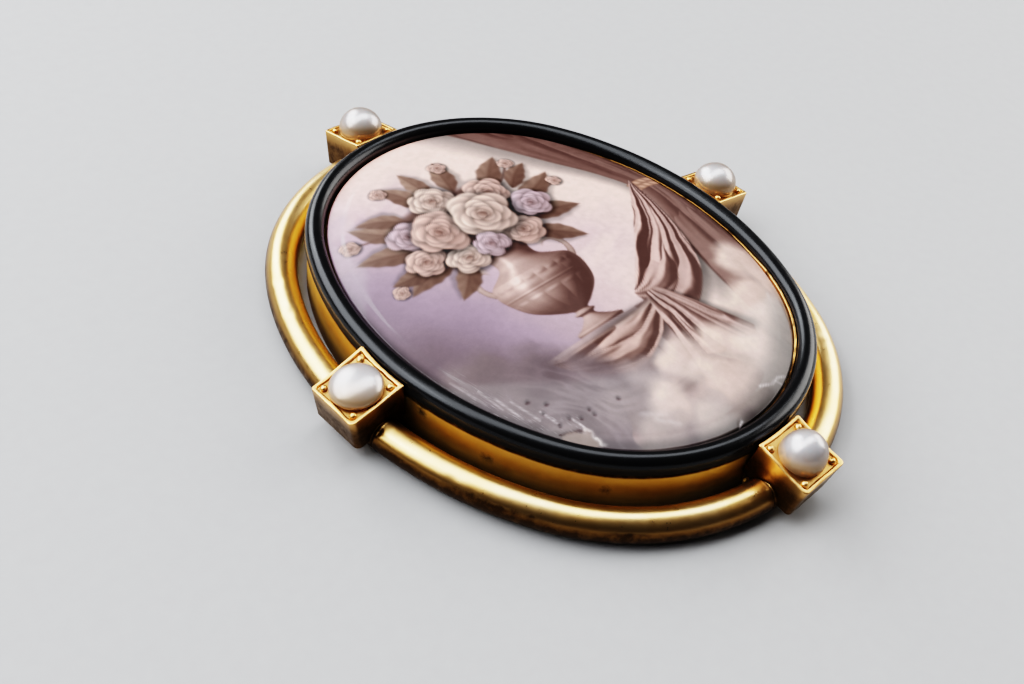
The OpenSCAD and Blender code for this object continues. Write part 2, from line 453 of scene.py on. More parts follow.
def hair_scratches(tree, place, turn, stretch=22.0):
    """Noise turned to a direction, then squeezed across it so that it draws out along it."""
    inputs = {"Vector": place, "Rotation": turn, "Scale": (1.0, 1 / stretch, 1 / stretch)}
    aim = add_node(tree, "ShaderNodeMapping", inputs, vector_type="TEXTURE")
    return noise(tree, aim.outputs["Vector"], HAIRS, 3.0, 0.7)


def gold_finish(name, pale, deep, polished, dull, scratch):
    """Near black shows where the number for dirt and painted shade, times the fine noise, is high, and it
    adds a fifth of itself to the roughness. Brown painted shade mixes in by its own number.
    """
    finish, tree, shader = new_finish(name, Metallic=1.0)
    place = object_place(tree)
    patches = noise(tree, place, PATCHES, 4.0, 0.6)
    polish = noise(tree, place, POLISH, 4.0, 0.65)
    colour = mixed(tree, spread(tree, patches, 0.35, 0.65, 0.0, 1.0), pale, deep)
    colour = mixed(tree, point_value(tree, "tarnish"), colour, SHADE_BROWN)
    eaten = reckoned(tree, "MULTIPLY", point_value(tree, "wear_and_painted_shade"), polish)
    dark_share = spread(tree, eaten, 0.18, 0.5, 0.0, 0.85)
    tree.links.new(mixed(tree, dark_share, colour, WEAR_AND_SHADE_DARK), shader.inputs["Base Color"])
    rough = spread(tree, polish, 0.3, 0.7, polished, dull)
    tree.links.new(reckoned(tree, "MULTIPLY_ADD", dark_share, 0.2, rough), shader.inputs["Roughness"])
    first = hair_scratches(tree, place, (0.0, 0.0, 0.5))
    second = hair_scratches(tree, place, (0.4, 0.2, 2.1))
    both = reckoned(tree, "ADD", first, second)
    tree.links.new(bumped(tree, both, scratch), shader.inputs["Normal"])
    return finish


golds = {name: gold_finish(name, *row) for name, row in GOLDS.items()}
print("golds:", ", ".join(golds))

# %% [markdown]
# ### Black
# The ring is glossy black, probably enamel or onyx. It is polished by hand, so a slow bump bends its
# reflections, and fine scratches soften them. Its foot, where no cloth reaches, stays matt.

# %% Black finish
MATT_FROM, MATT_TO = 4.95 * MM, 4.6 * MM  # heights between which the polish fades out


def black_finish():
    """Roughness = the uneven polish plus up to 0.4 towards the foot."""
    finish, tree, shader = new_finish(
        "black_enamel", Base_Color=(0.006, 0.006, 0.0065, 1), IOR=1.41, Specular_Tint=(0.93, 0.96, 1.0, 1)
    )
    place = object_place(tree)
    polish = noise(tree, place, 1100.0, 4.0, 0.65)
    slow = noise(tree, place, 300.0, 2.0)
    fine = hair_scratches(tree, place, (0.0, 0.0, 0.9))
    height = add_node(tree, "ShaderNodeSeparateXYZ", {"Vector": place}).outputs["Z"]
    foot = spread(tree, height, MATT_FROM, MATT_TO, 0.0, 0.4)
    gloss = spread(tree, polish, 0.3, 0.7, 0.21, 0.28)
    tree.links.new(reckoned(tree, "ADD", gloss, foot), shader.inputs["Roughness"])
    tree.links.new(bumped(tree, fine, 5e-7, bumped(tree, slow, 1.6e-5)), shader.inputs["Normal"])
    return finish


black_enamel = black_finish()
print("nodes of the black finish:", len(black_enamel.node_tree.nodes))

# %% [markdown]
# ### Pearl
# A pearl is layer on layer of clear nacre. Part of the light comes back from its surface as from a dull
# mirror, and part glows out of its depth, so the shader is partly metallic with a little subsurface. Its
# rim is painted grey brown as shade where the surface turns edge on, and a tan painted reflection of the
# gold lies on the flank where the points say so.

# %% Pearl finish
NACRE = (0.56, 0.545, 0.565, 1), (0.50, 0.48, 0.495, 1)
NACRE_RIM_SHADE = (0.28, 0.21, 0.165, 1), (0.25, 0.195, 0.16, 1)
GOLD_REFLECTION_TAN = (0.41, 0.27, 0.15, 1)


def pearl_finish():
    """The colour goes from the middle's to a painted rim shade as the surface turns edge on, then to the
    tan of a painted reflection where the points say so.
    """
    finish, tree, shader = new_finish(
        "pearl", Metallic=0.42, Roughness=0.29, IOR=1.4, Coat_Weight=0.15, Coat_Roughness=0.2,
        Subsurface_Weight=0.1, Subsurface_Scale=0.5 * MM,
    )
    place = object_place(tree)
    clouds = noise(tree, place, 800.0, 3.0)
    # Painted shade towards the rim, by how far the surface turns edge on to the camera
    facing = add_node(tree, "ShaderNodeLayerWeight", {"Blend": 0.4}).outputs["Facing"]
    middle, rim = mixed(tree, clouds, *NACRE), mixed(tree, clouds, *NACRE_RIM_SHADE)
    colour = mixed(tree, spread(tree, facing, 0.2, 0.68, 0.0, 0.95), middle, rim)
    colour = mixed(tree, point_value(tree, "tarnish"), colour, GOLD_REFLECTION_TAN)
    tree.links.new(colour, shader.inputs["Base Color"])
    skin = noise(tree, place, 1100.0, 3.0)
    tree.links.new(bumped(tree, skin, 1.5e-5), shader.inputs["Normal"])
    return finish


pearl_skin = pearl_finish()
print("nodes of the pearl finish:", len(pearl_skin.node_tree.nodes))

# %% [markdown]
# ### Glazed paint
# The plaque is paint under clear glaze, and the shader's coat stands for the glaze. The painting comes
# as a colour at each point. Fine hairs draw a band of pale scratches where the points say rubbed, and
# a slow noise leaves smears on the gloss.

# %% Plaque finish
SCRATCHED = (0.34, 0.30, 0.32, 1)


def plaque_finish():
    """Scratches show where rubbed times the hair noise is high: they are pale, and they dull the coat."""
    finish, tree, shader = new_finish(
        "painted_plaque", Roughness=0.5, Specular_IOR_Level=0.2, Coat_Weight=0.35, Coat_IOR=1.5
    )
    place = object_place(tree)
    paint = add_node(tree, "ShaderNodeAttribute", attribute_name="paint").outputs["Color"]
    stipple = noise(tree, place, 5200.0, 2.0, 0.7)
    colour = mixed(tree, 0.10, paint, stipple, "OVERLAY")
    hairs = hair_scratches(tree, place, (0.0, 0.0, math.radians(-80)), 34.0)
    strands = spread(tree, hairs, 0.58, 0.72, 0.0, 1.0)
    rubbed = reckoned(tree, "MULTIPLY", point_value(tree, "rubbed"), strands)
    tree.links.new(mixed(tree, rubbed, colour, SCRATCHED), shader.inputs["Base Color"])
    smear = noise(tree, place, 260.0, 4.0, 0.6)
    clear = spread(tree, smear, 0.4, 0.7, 0.06, 0.12)
    tree.links.new(reckoned(tree, "MULTIPLY_ADD", rubbed, 0.35, clear), shader.inputs["Coat Roughness"])
    tree.links.new(bumped(tree, hairs, 8e-7), shader.inputs["Coat Normal"])
    return finish


painted = plaque_finish()
print("nodes of the plaque finish:", len(painted.node_tree.nodes))

# %% [markdown]
# ## The gold tube
# The outer frame is a round tube bent to the oval. A curve with a round bevel would draw it too, but
# here each point's radius can be changed by a formula. Years of wear gave it a slow ripple and a few
# shallow dents, and beside each collet a narrow groove shows where its cut end was soldered on. So the
# grid takes even steps along the oval, with finer ones across each joint.

# %% Grid of the tube
TUBE_R = 1.27 * MM
COLLET_HALF = 2.25 * MM
TUBE_STEPS, AROUND = 760, 64


def collet_distance(along):
    """Distance along the centreline from the nearest collet's axis, of which there is one each quarter."""
    quarter = np.mod(along, ROUND / 4)
    return np.minimum(quarter, ROUND / 4 - quarter)


def tube_steps():
    """Even distances along the tube and finer ones from 0.2 mm inside each collet to 0.9 mm outside it."""
    near = np.linspace(-0.2, 0.9, 34) * MM + COLLET_HALF
    joints = [q * ROUND / 4 + s * near for q in range(4) for s in (-1, 1)]
    even = np.linspace(0, ROUND, TUBE_STEPS, endpoint=False)
    return np.unique(np.mod(np.concatenate([even] + joints), ROUND))


section_steps = np.linspace(0, 2 * math.pi, AROUND, endpoint=False)
tube_along, tube_angle = np.meshgrid(tube_steps(), section_steps, indexing="ij")
from_face = collet_distance(tube_along) - COLLET_HALF
print("grid of the tube:", tube_along.shape)

# %% [markdown]
# ### Marks on the tube
# Dents, scuffs and dirt are small spots. Each has a place (x, y) on the oval in millimetres and an angle
# round the tube's section, 0 outward and 90 up, both read off the picture. The nearest point of the
# centreline gives its distance along the tube.

# %% Marks on the tube
DENTS = [  # place, section angle, size and depth in mm, and dirt
    (-18.8, 10.9, 78, 0.45, 0.05, 0.0),
    (-17.0, 14.2, 70, 0.40, 0.045, 0.0),
    (14.0, -17.0, 85, 0.4, 0.03, 0.0),
    # This notch's dirt share of 1 is painted shade in its open gap
    (-19.4, -2.5, 52, 0.2, 0.2, 1.0),    # the open notch beside the left collet
    (-2.5, -22.9, 62, 0.2, -0.06, 0.0),  # a bump of solder beside the bottom one
    (-19.2, -9.0, 40, 0.5, 0.03, 0.0),
]
SCUFFS = [  # place, section angle, length along the tube and width round it in mm, and strength
    (-19.3, -10.6, 28, 1.6, 0.22, 0.9),
    (-18.5, -12.4, 20, 1.2, 0.16, 0.8),
    (-17.6, -14.3, 30, 1.4, 0.2, 0.8),
    (-20.6, -5.0, 10, 1.0, 0.2, 0.7),
    (-12.5, -19.5, 22, 1.3, 0.16, 0.7),
    (-19.0, 9.0, 20, 1.2, 0.15, 0.6),
]


def distance_from(x, y):
    """Distance of each grid point, along the tube, from the centreline's point nearest to (x, y). It is
    at most half the way round, forward or back."""
    line = oval(FINE)
    at = FINE_ALONG[np.argmin(np.hypot(line[:, 0] - x * MM, line[:, 1] - y * MM))]
    return np.mod(tube_along - at + ROUND / 2, ROUND) - ROUND / 2


def angle_from(section):
    """Angle of each grid point from one round the section, at most half a turn forward or back."""
    return np.mod(tube_angle - math.radians(section) + math.pi, 2 * math.pi) - math.pi


dent_spots = [
    bell(np.hypot(distance_from(x, y), TUBE_R * angle_from(section)), size * MM)
    for x, y, section, size, depth, dirt in DENTS
]
print("grid points in dents:", [int((spot > 0.5).sum()) for spot in dent_spots])

# %% [markdown]
# ### Shape of the tube
# The radius at a point is the tube's own, changed a little by each cause in turn. A sum of waves makes
# it hand drawn, a finer one makes it hammered, and the dents, the grooves and the cut ends come on top.

# %% Shape of the tube
GROOVE = {"at": 0.06 * MM, "width": 0.05 * MM, "depth": 0.13 * MM}
CUT_END = {"at": 0.22 * MM, "width": 0.06 * MM, "height": 0.012 * MM}
WAVES = [(0.006, 3, 0.4), (0.004, 7, 1.1), (0.002, 17, 2.0), (0.0012, 41, 0.3)]  # as shares of the radius
HAMMERED = 0.006 * MM  # height of the fine unevenness round the section


def tube_points():
    """Radius = tube radius + waves - dents - groove + cut end, round the centreline at the tube's height.
    Nothing reaches below the floor."""
    turn = 2 * math.pi * tube_along / ROUND
    radius = TUBE_R * (1 + ripple(turn, WAVES))
    hammered = HAMMERED * np.sin(23 * turn + 1.5 * np.sin(3 * tube_angle))
    radius = radius + hammered * np.cos(2 * tube_angle + 5 * turn)
    for (*_, depth, dirt), spot in zip(DENTS, dent_spots):
        radius = radius - depth * MM * spot
    radius = radius - GROOVE["depth"] * bell(from_face - GROOVE["at"], GROOVE["width"])
    radius = radius + CUT_END["height"] * bell(from_face - CUT_END["at"], CUT_END["width"])
    flat = oval(angle_at(tube_along), radius * np.cos(tube_angle))
    height = np.maximum(TUBE_R + radius * np.sin(tube_angle), 0)
    return np.concatenate([flat, height[..., None]], -1)


gold_tube = make_piece("gold_tube", ring_shell(tube_points()), golds["tube_gold"], "gold", "frame")

# %% [markdown]
# ### Wear and painted shade of the tube
# The crown is polished by cloth and fingers, and dirt fills the grooves beside the collets. The outer
# underside, the inner side, a line along the left half just inside the crown, and a rim beside each
# collet are darkened as painted shade. Each zone is a band of section angles, in degrees from outward
# over the top.

# %% Wear and painted shade of the tube
# Bands of painted shade, where the tube lies in shadow or mirrors dark
SHADED_UNDERSIDE = {"start": -150, "full": -120, "last": 20, "end": 62}
UNDERSIDE_DARK_SHADE = {"start": -150, "full": -120, "last": -6, "end": 34}
SHADED_INNER_SIDE = {"start": 120, "full": 160, "last": 200, "end": 230}
LEFT_SHADE_LINE = {"at": 116, "width": 20}  # a darker line along the left half, just inside the crown


def tube_tarnish(half_turns, whole_turns):
    """Painted shade: underside + inner side + left line + a rim beside each collet."""
    tarnish = band(half_turns, **SHADED_UNDERSIDE) + 0.55 * band(whole_turns, **SHADED_INNER_SIDE)
    left = np.clip(-1.6 * np.cos(angle_at(tube_along)) - 0.4, 0, 1)
    tarnish = tarnish + 0.8 * left * bell(whole_turns - LEFT_SHADE_LINE["at"], LEFT_SHADE_LINE["width"])
    return tarnish + 0.5 * bell(from_face, 0.35 * MM)


def tube_wear_and_shade(half_turns, whole_turns):
    """Dirt in the grooves + dents that hold dirt + scuffs that come and go along their length + painted
    shade on the underside and the inner side.
    """
    dirt = 0.95 * bell(from_face - GROOVE["at"], 0.08 * MM)
    for (*_, depth, share), spot in zip(DENTS, dent_spots):
        dirt = dirt + share * spot
    for x, y, section, long, wide, strength in SCUFFS:
        streak = bell(distance_from(x, y), long * MM) * bell(angle_from(section) * TUBE_R, wide * MM)
        dirt = dirt + strength * streak * (0.75 + 0.25 * np.sin(tube_along / MM * 6))
    return dirt + 1.2 * band(half_turns, **UNDERSIDE_DARK_SHADE) + 0.2 * band(whole_turns, **SHADED_INNER_SIDE)


half_turns = np.degrees(np.mod(tube_angle + math.pi, 2 * math.pi) - math.pi)
whole_turns = np.mod(half_turns, 360)
tube_values = {"wear_and_painted_shade": tube_wear_and_shade(half_turns, whole_turns), "tarnish": tube_tarnish(half_turns, whole_turns)}
set_values(gold_tube, **tube_values)
print(f"share of the tube that is brown: {(tube_values['tarnish'] > 0.5).mean():.2f}")

# %% [markdown]
# ## The case
# The inner case is a straight wall that carries a thin flange, with a closed back set up inside it. A
# jeweller bends and solders it from sheet. Its section runs from the middle of the back's underside, out
# and down to the foot of the wall, up to the flange, and in again to the middle of the back's upper
# side. Carried round the oval, it is one closed surface.

# %% Shape of the case
WALL_OUT, WALL_IN = -2.0 * MM, -2.7 * MM
FLANGE_OUT, FLANGE_IN = -1.77 * MM, -4.47 * MM
FLANGE_LOW, FLANGE_TOP = 3.89 * MM, 4.17 * MM
BACK_LOW, BACK_TOP = 2.3 * MM, 2.7 * MM
INNER = -6.0 * MM  # where the back's surface starts to run to its middle
WALL_LEVELS = (0.6, 1.0, 1.4, 1.8, 2.1, 2.4, 2.7, 3.0, 3.3, 3.6)  # points up the wall, in mm, for its wear
CASE_SECTION = [
    (INNER, BACK_LOW, 0), (WALL_IN, BACK_LOW, 0.1 * MM), (WALL_IN, 0, 0.12 * MM), (WALL_OUT, 0, 0.12 * MM),
    *[(WALL_OUT, z * MM, 0) for z in WALL_LEVELS],
    (WALL_OUT, FLANGE_LOW, 0.05 * MM), (FLANGE_OUT, FLANGE_LOW, 0.06 * MM),
    (FLANGE_OUT, FLANGE_TOP, 0.06 * MM), (FLANGE_IN, FLANGE_TOP, 0.06 * MM),
    (FLANGE_IN, FLANGE_LOW, 0.06 * MM),
    (WALL_IN, FLANGE_LOW, 0.05 * MM), (WALL_IN, BACK_TOP, 0.1 * MM), (INNER, BACK_TOP, 0),
]
CASE_STEPS = 420
FLANGE_HIDDEN = {"toward": math.radians(-128), "by": 0.27 * MM}


def case_shell():
    """The flange stands out past the black ring at the sides. Towards the lower left it is drawn in by
    up to the hidden amount, in proportion to how far out a point lies on it."""
    section = rounded(CASE_SECTION, closed=False)
    angles = angle_at(np.linspace(0, ROUND, CASE_STEPS, endpoint=False))
    hide = FLANGE_HIDDEN["by"] * np.clip(0.35 + np.cos(angles - FLANGE_HIDDEN["toward"]), 0, 1)
    past = np.clip((section[:, 0] - WALL_OUT) / (FLANGE_OUT - WALL_OUT), 0, 1)
    flat = oval(angles[:, None], section[None, :, 0] - hide[:, None] * past[None, :])
    points = np.concatenate([flat, np.broadcast_to(section[None, :, 1, None], flat.shape[:2] + (1,))], -1)
    return capped_shell(points.transpose(1, 0, 2), (0, 0, BACK_LOW), (0, 0, BACK_TOP))


# Small drops of solder left on the case: middle and radius in mm
SOLDER_BEADS = [
    ((-1.9, -21.4, 0.95), 0.3), ((-16.2, -7.55, 3.5), 0.09),
    ((-16.05, 4.2, 1.2), 0.1), ((-14.7, 10.6, 2.0), 0.08),
]
beads = [ball_shell(np.array(at) * MM, size * MM) for at, size in SOLDER_BEADS]
case_surface = joined([case_shell()] + beads)
gold_case = make_piece("gold_case", case_surface, golds["case_gold"], "gold", "frame")

# %% [markdown]
# ### Wear and painted shade of the case
# No cloth reaches the wall behind the tube, so it is dull. Near its foot and under the black ring it is
# darkened as painted shade, and a few blotches of dirt cling below the flange. The solder drops are left
# out of the painted shade.

# %% Wear and painted shade of the case
BLOTCHES = [  # place (x, y, z) and size in mm
    ((-17.2, -3.6, 3.2), 0.6), ((-17.6, -5.2, 2.6), 0.7), ((-15.5, 10.9, 2.4), 0.35),
    ((-16.9, 7.4, 2.2), 0.4), ((-13.4, -13.0, 3.0), 0.5), ((-8.0, -18.0, 2.6), 0.8),
    ((-15.8, -9.0, 2.2), 0.6), ((-11.4, -16.0, 2.4), 0.6),
]
WALL_HALVES = (16.9, 20.6)  # half width and half length, in mm, of an oval near the wall's outer face


def spot_at(points, at, size):
    """1 in the middle of a spot, falling off with the distance from it."""
    return bell(np.sqrt(((points - at) ** 2).sum(-1)), size)


def case_values(points):
    """Brown painted shade = the low zone without the beads + the zone under the ring. Near black = blotches
    of dirt + painted shade on that zone.
    """
    points = points / MM
    x, y, z = points.T
    reach = np.hypot(x / WALL_HALVES[0], y / WALL_HALVES[1])
    # Painted shade low on the wall, behind the tube
    low = np.clip((1.7 - z) / 0.9, 0, 1) * (reach > 0.985) * (z < 3.9)
    for at, size in SOLDER_BEADS:
        low = low * (1 - spot_at(points, at, 2 * size))
    toward = np.cos(np.arctan2(y / WALL_HALVES[1], x / WALL_HALVES[0]) - FLANGE_HIDDEN["toward"])
    # Painted shade on the flange under the black ring, towards the lower left
    shade_under_ring = np.clip(1.6 * toward + 0.3, 0, 1) * (z > 3.8) * (reach > 0.96)
    blotch = sum(spot_at(points, at, size) for at, size in BLOTCHES)
    return {"tarnish": 0.95 * low + shade_under_ring, "wear_and_painted_shade": blotch + 1.6 * shade_under_ring}


set_values(gold_case, **case_values(case_surface["points"]))
print("blotches on the case:", len(BLOTCHES))

# %% [markdown]
# ## The black ring
# The black ring is half round on a straight foot, so its section is a foot, two short sides and a half
# circle. Blender's torus would come close, but it has no foot. Polished by hand, the ring is never quite
# even: its height wavers by a hundredth of a millimetre, and its reflections waver with it. One small
# knock shows at the lower left.

# %% Black ring
RING_MID = -2.55 * MM
RING_HALF = 0.75 * MM
SEAT = 4.2 * MM           # height of the flange's top plus a small gap
RING_TOP = ring_high.z
RING_STEPS, CROWN_STEPS = 900, 30
RING_WAVES = [(0.012 * MM, 4, 0.3), (0.008 * MM, 9, 1.9), (0.004 * MM, 23, 0.7)]
RING_LOWER = 0.02 * MM    # keeps the wavering crown below the solid's top
KNOCK = {"x": -12.25 * MM, "y": -13.1 * MM, "size": 0.3 * MM, "depth": 0.03 * MM}


def black_ring_points():
    """Section: foot corners, then the crown as (half width * cos, half width * sin) above the straight
    side. The waves and the knock count in full at the crown and not at all at the foot."""
    crown = np.linspace(0, math.pi, CROWN_STEPS)
    foot, low = 0.93 * RING_HALF, SEAT + 0.05 * MM
    dome = RING_TOP - RING_HALF + RING_HALF * np.sin(crown)
    out = np.concatenate([[-foot, foot, RING_HALF], RING_HALF * np.cos(crown), [-RING_HALF]])
    height = np.concatenate([[SEAT, SEAT, low], dome, [low]])
    along = np.linspace(0, ROUND, RING_STEPS, endpoint=False)
    lift = ripple(2 * math.pi * along[:, None] / ROUND, RING_WAVES)
    flat = oval(angle_at(along)[:, None], RING_MID + out[None, :])
    from_knock = np.hypot(flat[..., 0] - KNOCK["x"], flat[..., 1] - KNOCK["y"])
    knock = KNOCK["depth"] * bell(from_knock, KNOCK["size"])
    above = np.clip((height[None, :] - SEAT) / (RING_TOP - SEAT), 0, 1)
    z = height[None, :] + above * (lift - RING_LOWER - knock)
    return np.concatenate([flat, z[..., None]], -1)


make_piece("black_ring", ring_shell(black_ring_points()), black_enamel, "black_enamel", "enamel_ring")

# %% [markdown]
# ## The bezel
# A bezel is a thin strip of gold that is pressed over a stone's edge to hold it. This one is a wall of
# 0.2 mm with rounded edges, swept round the oval. Rubbing has worn it low, and only at the lower right it
# still stands at its full height. Elsewhere it is darkened as painted shade, in the gap between the black
# ring and the plaque. Its top wavers as a pressed edge does.

# %% Bezel
BEZEL_OUT, BEZEL_IN = -3.33 * MM, -3.53 * MM
BEZEL_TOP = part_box("bezel")[1].z
BEZEL_WORN = 0.55 * MM          # how much lower the edge is where it is pressed down and rubbed
BEZEL_FULL = math.radians(-38)  # direction of the stretch that still stands at its full height
BEZEL_SECTION = [
    (BEZEL_OUT, SEAT, 0.03 * MM), (BEZEL_OUT, BEZEL_TOP, 0.07 * MM),
    (BEZEL_IN, BEZEL_TOP, 0.07 * MM), (BEZEL_IN, SEAT, 0.03 * MM),
]
BEZEL_WAVES = [(0.5, 31, 0.2), (0.35, 57, 1.0), (0.3, 113, 2.2)]
BEZEL_CHIPS = [(0.8, 19, 0.5), (0.7, 43, 2.1), (0.5, 87, 1.2)]
# Stretches in degrees past the full one's middle
FULL_STRETCH = {"start": -26, "full": -14, "last": 14, "end": 26}
DULL_STRETCH = {"start": -28, "full": -20, "last": 50, "end": 80}


def bezel_shell():
    """Drop = the amount worn off where the edge is neither full nor dull, plus fine waves. It counts in
    full at the wall's top and not at all at its foot. The points' numbers come back beside the shell."""
    along = np.linspace(0, ROUND, RING_STEPS, endpoint=False)
    angles, turn = angle_at(along), 2 * math.pi * along / ROUND
    past = np.degrees(np.mod(angles - BEZEL_FULL + math.pi, 2 * math.pi) - math.pi)
    full, dull = band(past, **FULL_STRETCH), band(past, **DULL_STRETCH)
    worn = BEZEL_WORN * (1 - np.maximum(full, 0.7 * dull))
    drop = worn + 0.02 * MM * (1 + ripple(turn, BEZEL_WAVES))
    points = swept(rounded(BEZEL_SECTION), angles)
    share = (points[..., 2] - SEAT) / (BEZEL_TOP - SEAT)
    points[..., 2] -= share * drop[:, None]
    # Chips are real wear; away from the full stretch the bezel gets painted shade in the gap between the
    # ring and the plaque
    chips = np.clip(ripple(turn, BEZEL_CHIPS) - 0.45, 0, 1)
    values = {"wear_and_painted_shade": chips + 1.6 * (1 - dull), "tarnish": 1 - 0.8 * full}
    grid = points.shape[:2]
    return ring_shell(points), {key: np.broadcast_to(v[:, None], grid) for key, v in values.items()}


bezel_surface, bezel_values = bezel_shell()
gold_bezel = make_piece("gold_bezel", bezel_surface, golds["collet_gold"], "gold", "bezel")
set_values(gold_bezel, **bezel_values)

# %% [markdown]
# ## The domed plaque
# The plaque is a low dome of enamel or porcelain, painted and then glazed. Where it was rubbed, its glaze
# is scratched and pitted, and one flake is lost at the lower left. Such marks could be sculpted by hand.
# Here each is a short list of places, because the same lists then lower the surface and change the paint.

# %% Wear of the glaze
# All places are (x, y) in mm. Streaks are long pale scratches, with their half width and strength.
STREAKS = [
    ([(-15.0, -3.95), (-14.44, -7.0)], 0.09, 0.35), ([(-14.1, -5.82), (-13.86, -8.09)], 0.07, 0.4),
    ([(-13.67, -7.07), (-13.35, -9.53)], 0.08, 0.5), ([(-13.05, -7.98), (-12.58, -10.4)], 0.08, 0.5),
    ([(-12.11, -9.91), (-11.85, -11.41)], 0.07, 0.75), ([(-10.84, -11.8), (-10.68, -12.76)], 0.07, 0.75),
    ([(-6.85, -14.49), (-5.42, -15.58)], 0.25, 0.3), ([(-6.3, -15.5), (-5.17, -16.79)], 0.2, 0.25),
    ([(-1.19, -19.29), (-1.45, -19.4), (-1.68, -19.57)], 0.09, 1.0),
    (
        [(5.09, -18.53), (4.5, -18.3), (3.98, -18.35), (3.6, -18.42), (3.26, -18.31), (2.52, -18.06)],
        0.11, 0.55,
    ),
    ([(4.05, -18.4), (4.27, -18.96)], 0.1, 0.35),
]
PITS = [
    (-12.21, -8.74), (-11.35, -9.72), (-12.05, -10.15), (-10.94, -11.57), (-10.31, -12.11), (-9.36, -11.95),
    (-9.38, -12.46), (-7.09, -12.6), (-11.85, -11.61),
]
FLAKE = [(-12.49, -11.97), (-10.86, -12.84), (-10.5, -13.45), (-10.65, -14.66), (-13.0, -14.4)]
RUBBED = [(-15.0, -3.4), (-14.2, -7.4), (-12.7, -10.6), (-11.2, -12.2)]  # middle of the scratched band


def near_line(x, y, line):
    """Least distance from each point to a chain of straight pieces."""
    best = np.full(np.shape(x), 99.0)
    for (x0, y0), (x1, y1) in zip(line[:-1], line[1:]):
        dx, dy = x1 - x0, y1 - y0
        t = np.clip(((x - x0) * dx + (y - y0) * dy) / (dx * dx + dy * dy), 0, 1)
        best = np.minimum(best, np.hypot(x - x0 - t * dx, y - y0 - t * dy))
    return best


def inside_flake(x, y):
    """Least distance to the flake's sides, positive inside: its corners go round clockwise."""
    sides = zip(FLAKE, FLAKE[1:] + FLAKE[:1])
    return np.min([
        ((y - y0) * (x1 - x0) - (x - x0) * (y1 - y0)) / -math.hypot(x1 - x0, y1 - y0)
        for (x0, y0), (x1, y1) in sides
    ], 0)


def glaze_depth(x, y):
    """How much lower the worn surface is, in mm: pits, the lost flake and the scratches."""
    pits = np.sum([bell(np.hypot(x - px, y - py), 0.15) for px, py in PITS], 0)
    flake = np.clip(inside_flake(x, y) / 0.12, 0, 1)
    lines = np.sum([s * bell(near_line(x, y, line), w) for line, w, s in STREAKS], 0)
    return 0.05 * pits + 0.05 * flake + 0.008 * lines


print("marks on the glaze:", len(STREAKS), "streaks and", len(PITS), "pits")

# %% [markdown]
# ### Shape of the plaque
# A squashed sphere would do for the dome, but its cells crowd at the pole. So a grid of squares is
# mapped onto the disc instead. All its cells keep about the same area, which gives the painting an even
# resolution. The disc is then stretched to the oval's rim, and a skirt and a fan close it below.

# %% Shape of the plaque
PLAQUE_RIM = -3.56 * MM
PLAQUE_EDGE = SEAT + 0.62 * MM
DOME_RISE, DOME_POWER = 1.2 * MM, 3.4
# The glaze rolls over to its rim in a narrow fold, at this share of the way out
SHOULDER = {"at": 0.935, "half": 0.0067, "drop": 0.027 * MM}
CELLS = 300


def disc_grid(count):
    """Square to disc: the larger coordinate gives the radius, and the ratio of the two gives the angle
    within a quarter turn."""
    line = np.linspace(-1, 1, count)
    u, v = np.meshgrid(line, line, indexing="ij")
    wide = np.abs(u) >= np.abs(v)
    big = np.where(wide, u, v)
    small = np.where(wide, v, u)
    ratio = small / np.where(big == 0, 1, big)
    angle = np.where(wide, math.pi / 4 * ratio, math.pi / 2 - math.pi / 4 * ratio)
    return np.abs(big), np.arctan2(big * np.sin(angle), big * np.cos(angle))


def rim_reach(direction):
    """Distance from the middle to the plaque's rim in a direction, read from the rim's own points."""
    rim = oval(FINE[:-1], PLAQUE_RIM)
    bearing = np.unwrap(np.arctan2(rim[:, 1], rim[:, 0]))
    reach = np.hypot(rim[:, 0], rim[:, 1])
    return np.interp(np.mod(direction, 2 * math.pi), bearing, reach, period=2 * math.pi)


def dome_height(share):
    """Edge height plus the rise times (1 - share of the way to the rim, to the dome's power), less the
    shoulder's drop."""
    t = np.clip((share - SHOULDER["at"]) / SHOULDER["half"] / 2 + 0.5, 0, 1)
    return PLAQUE_EDGE + DOME_RISE * (1 - share ** DOME_POWER) - SHOULDER["drop"] * t * t * (3 - 2 * t)


def plaque_shell():
    """The dome's grid, a skirt of quads from its border down to the seat, and a fan that closes it."""
    share, direction = disc_grid(CELLS)
    reach = rim_reach(direction)
    x, y = share * reach * np.cos(direction), share * reach * np.sin(direction)
    top = np.stack([x, y, dome_height(share) - glaze_depth(x / MM, y / MM) * MM], -1)
    number = np.arange(CELLS * CELLS).reshape(CELLS, CELLS)
    border = np.concatenate([number[:-1, 0], number[-1, :-1], number[:0:-1, -1], number[0, :0:-1]])
    rim = top.reshape(-1, 3)[border]
    low = rim * [1, 1, 0] + [0, 0, SEAT]
    start, count = CELLS * CELLS, len(border)
    j = np.arange(count)
    j2 = (j + 1) % count
    side = np.stack([start + j, start + j2, border[j2], border[j]], -1)
    under = np.stack([start + j2, start + j, np.full(count, start + count)], -1)
    points = np.concatenate([top.reshape(-1, 3), low, [(0, 0, SEAT)]])
    return shell(points, np.concatenate([grid_faces(CELLS, CELLS), side]), under)


plaque_solid = plaque_shell()
plaque = make_piece("painted_plaque", plaque_solid, painted, "painted_plaque", "miniature")

# %% [markdown]
# ## The painting
# The plaque carries a still life in sepia and lilac: an urn of roses on a draped plinth, a curtain
# on the right, and clouds below. A painter builds such a picture in layers, from the sky forward. The
# code does the same: each motif is a mask and a tone worked out for every point at once, and it is laid
# over what is already there. Solid things get their tone from a painted relief, whose slope is compared
# with one light from the upper left.

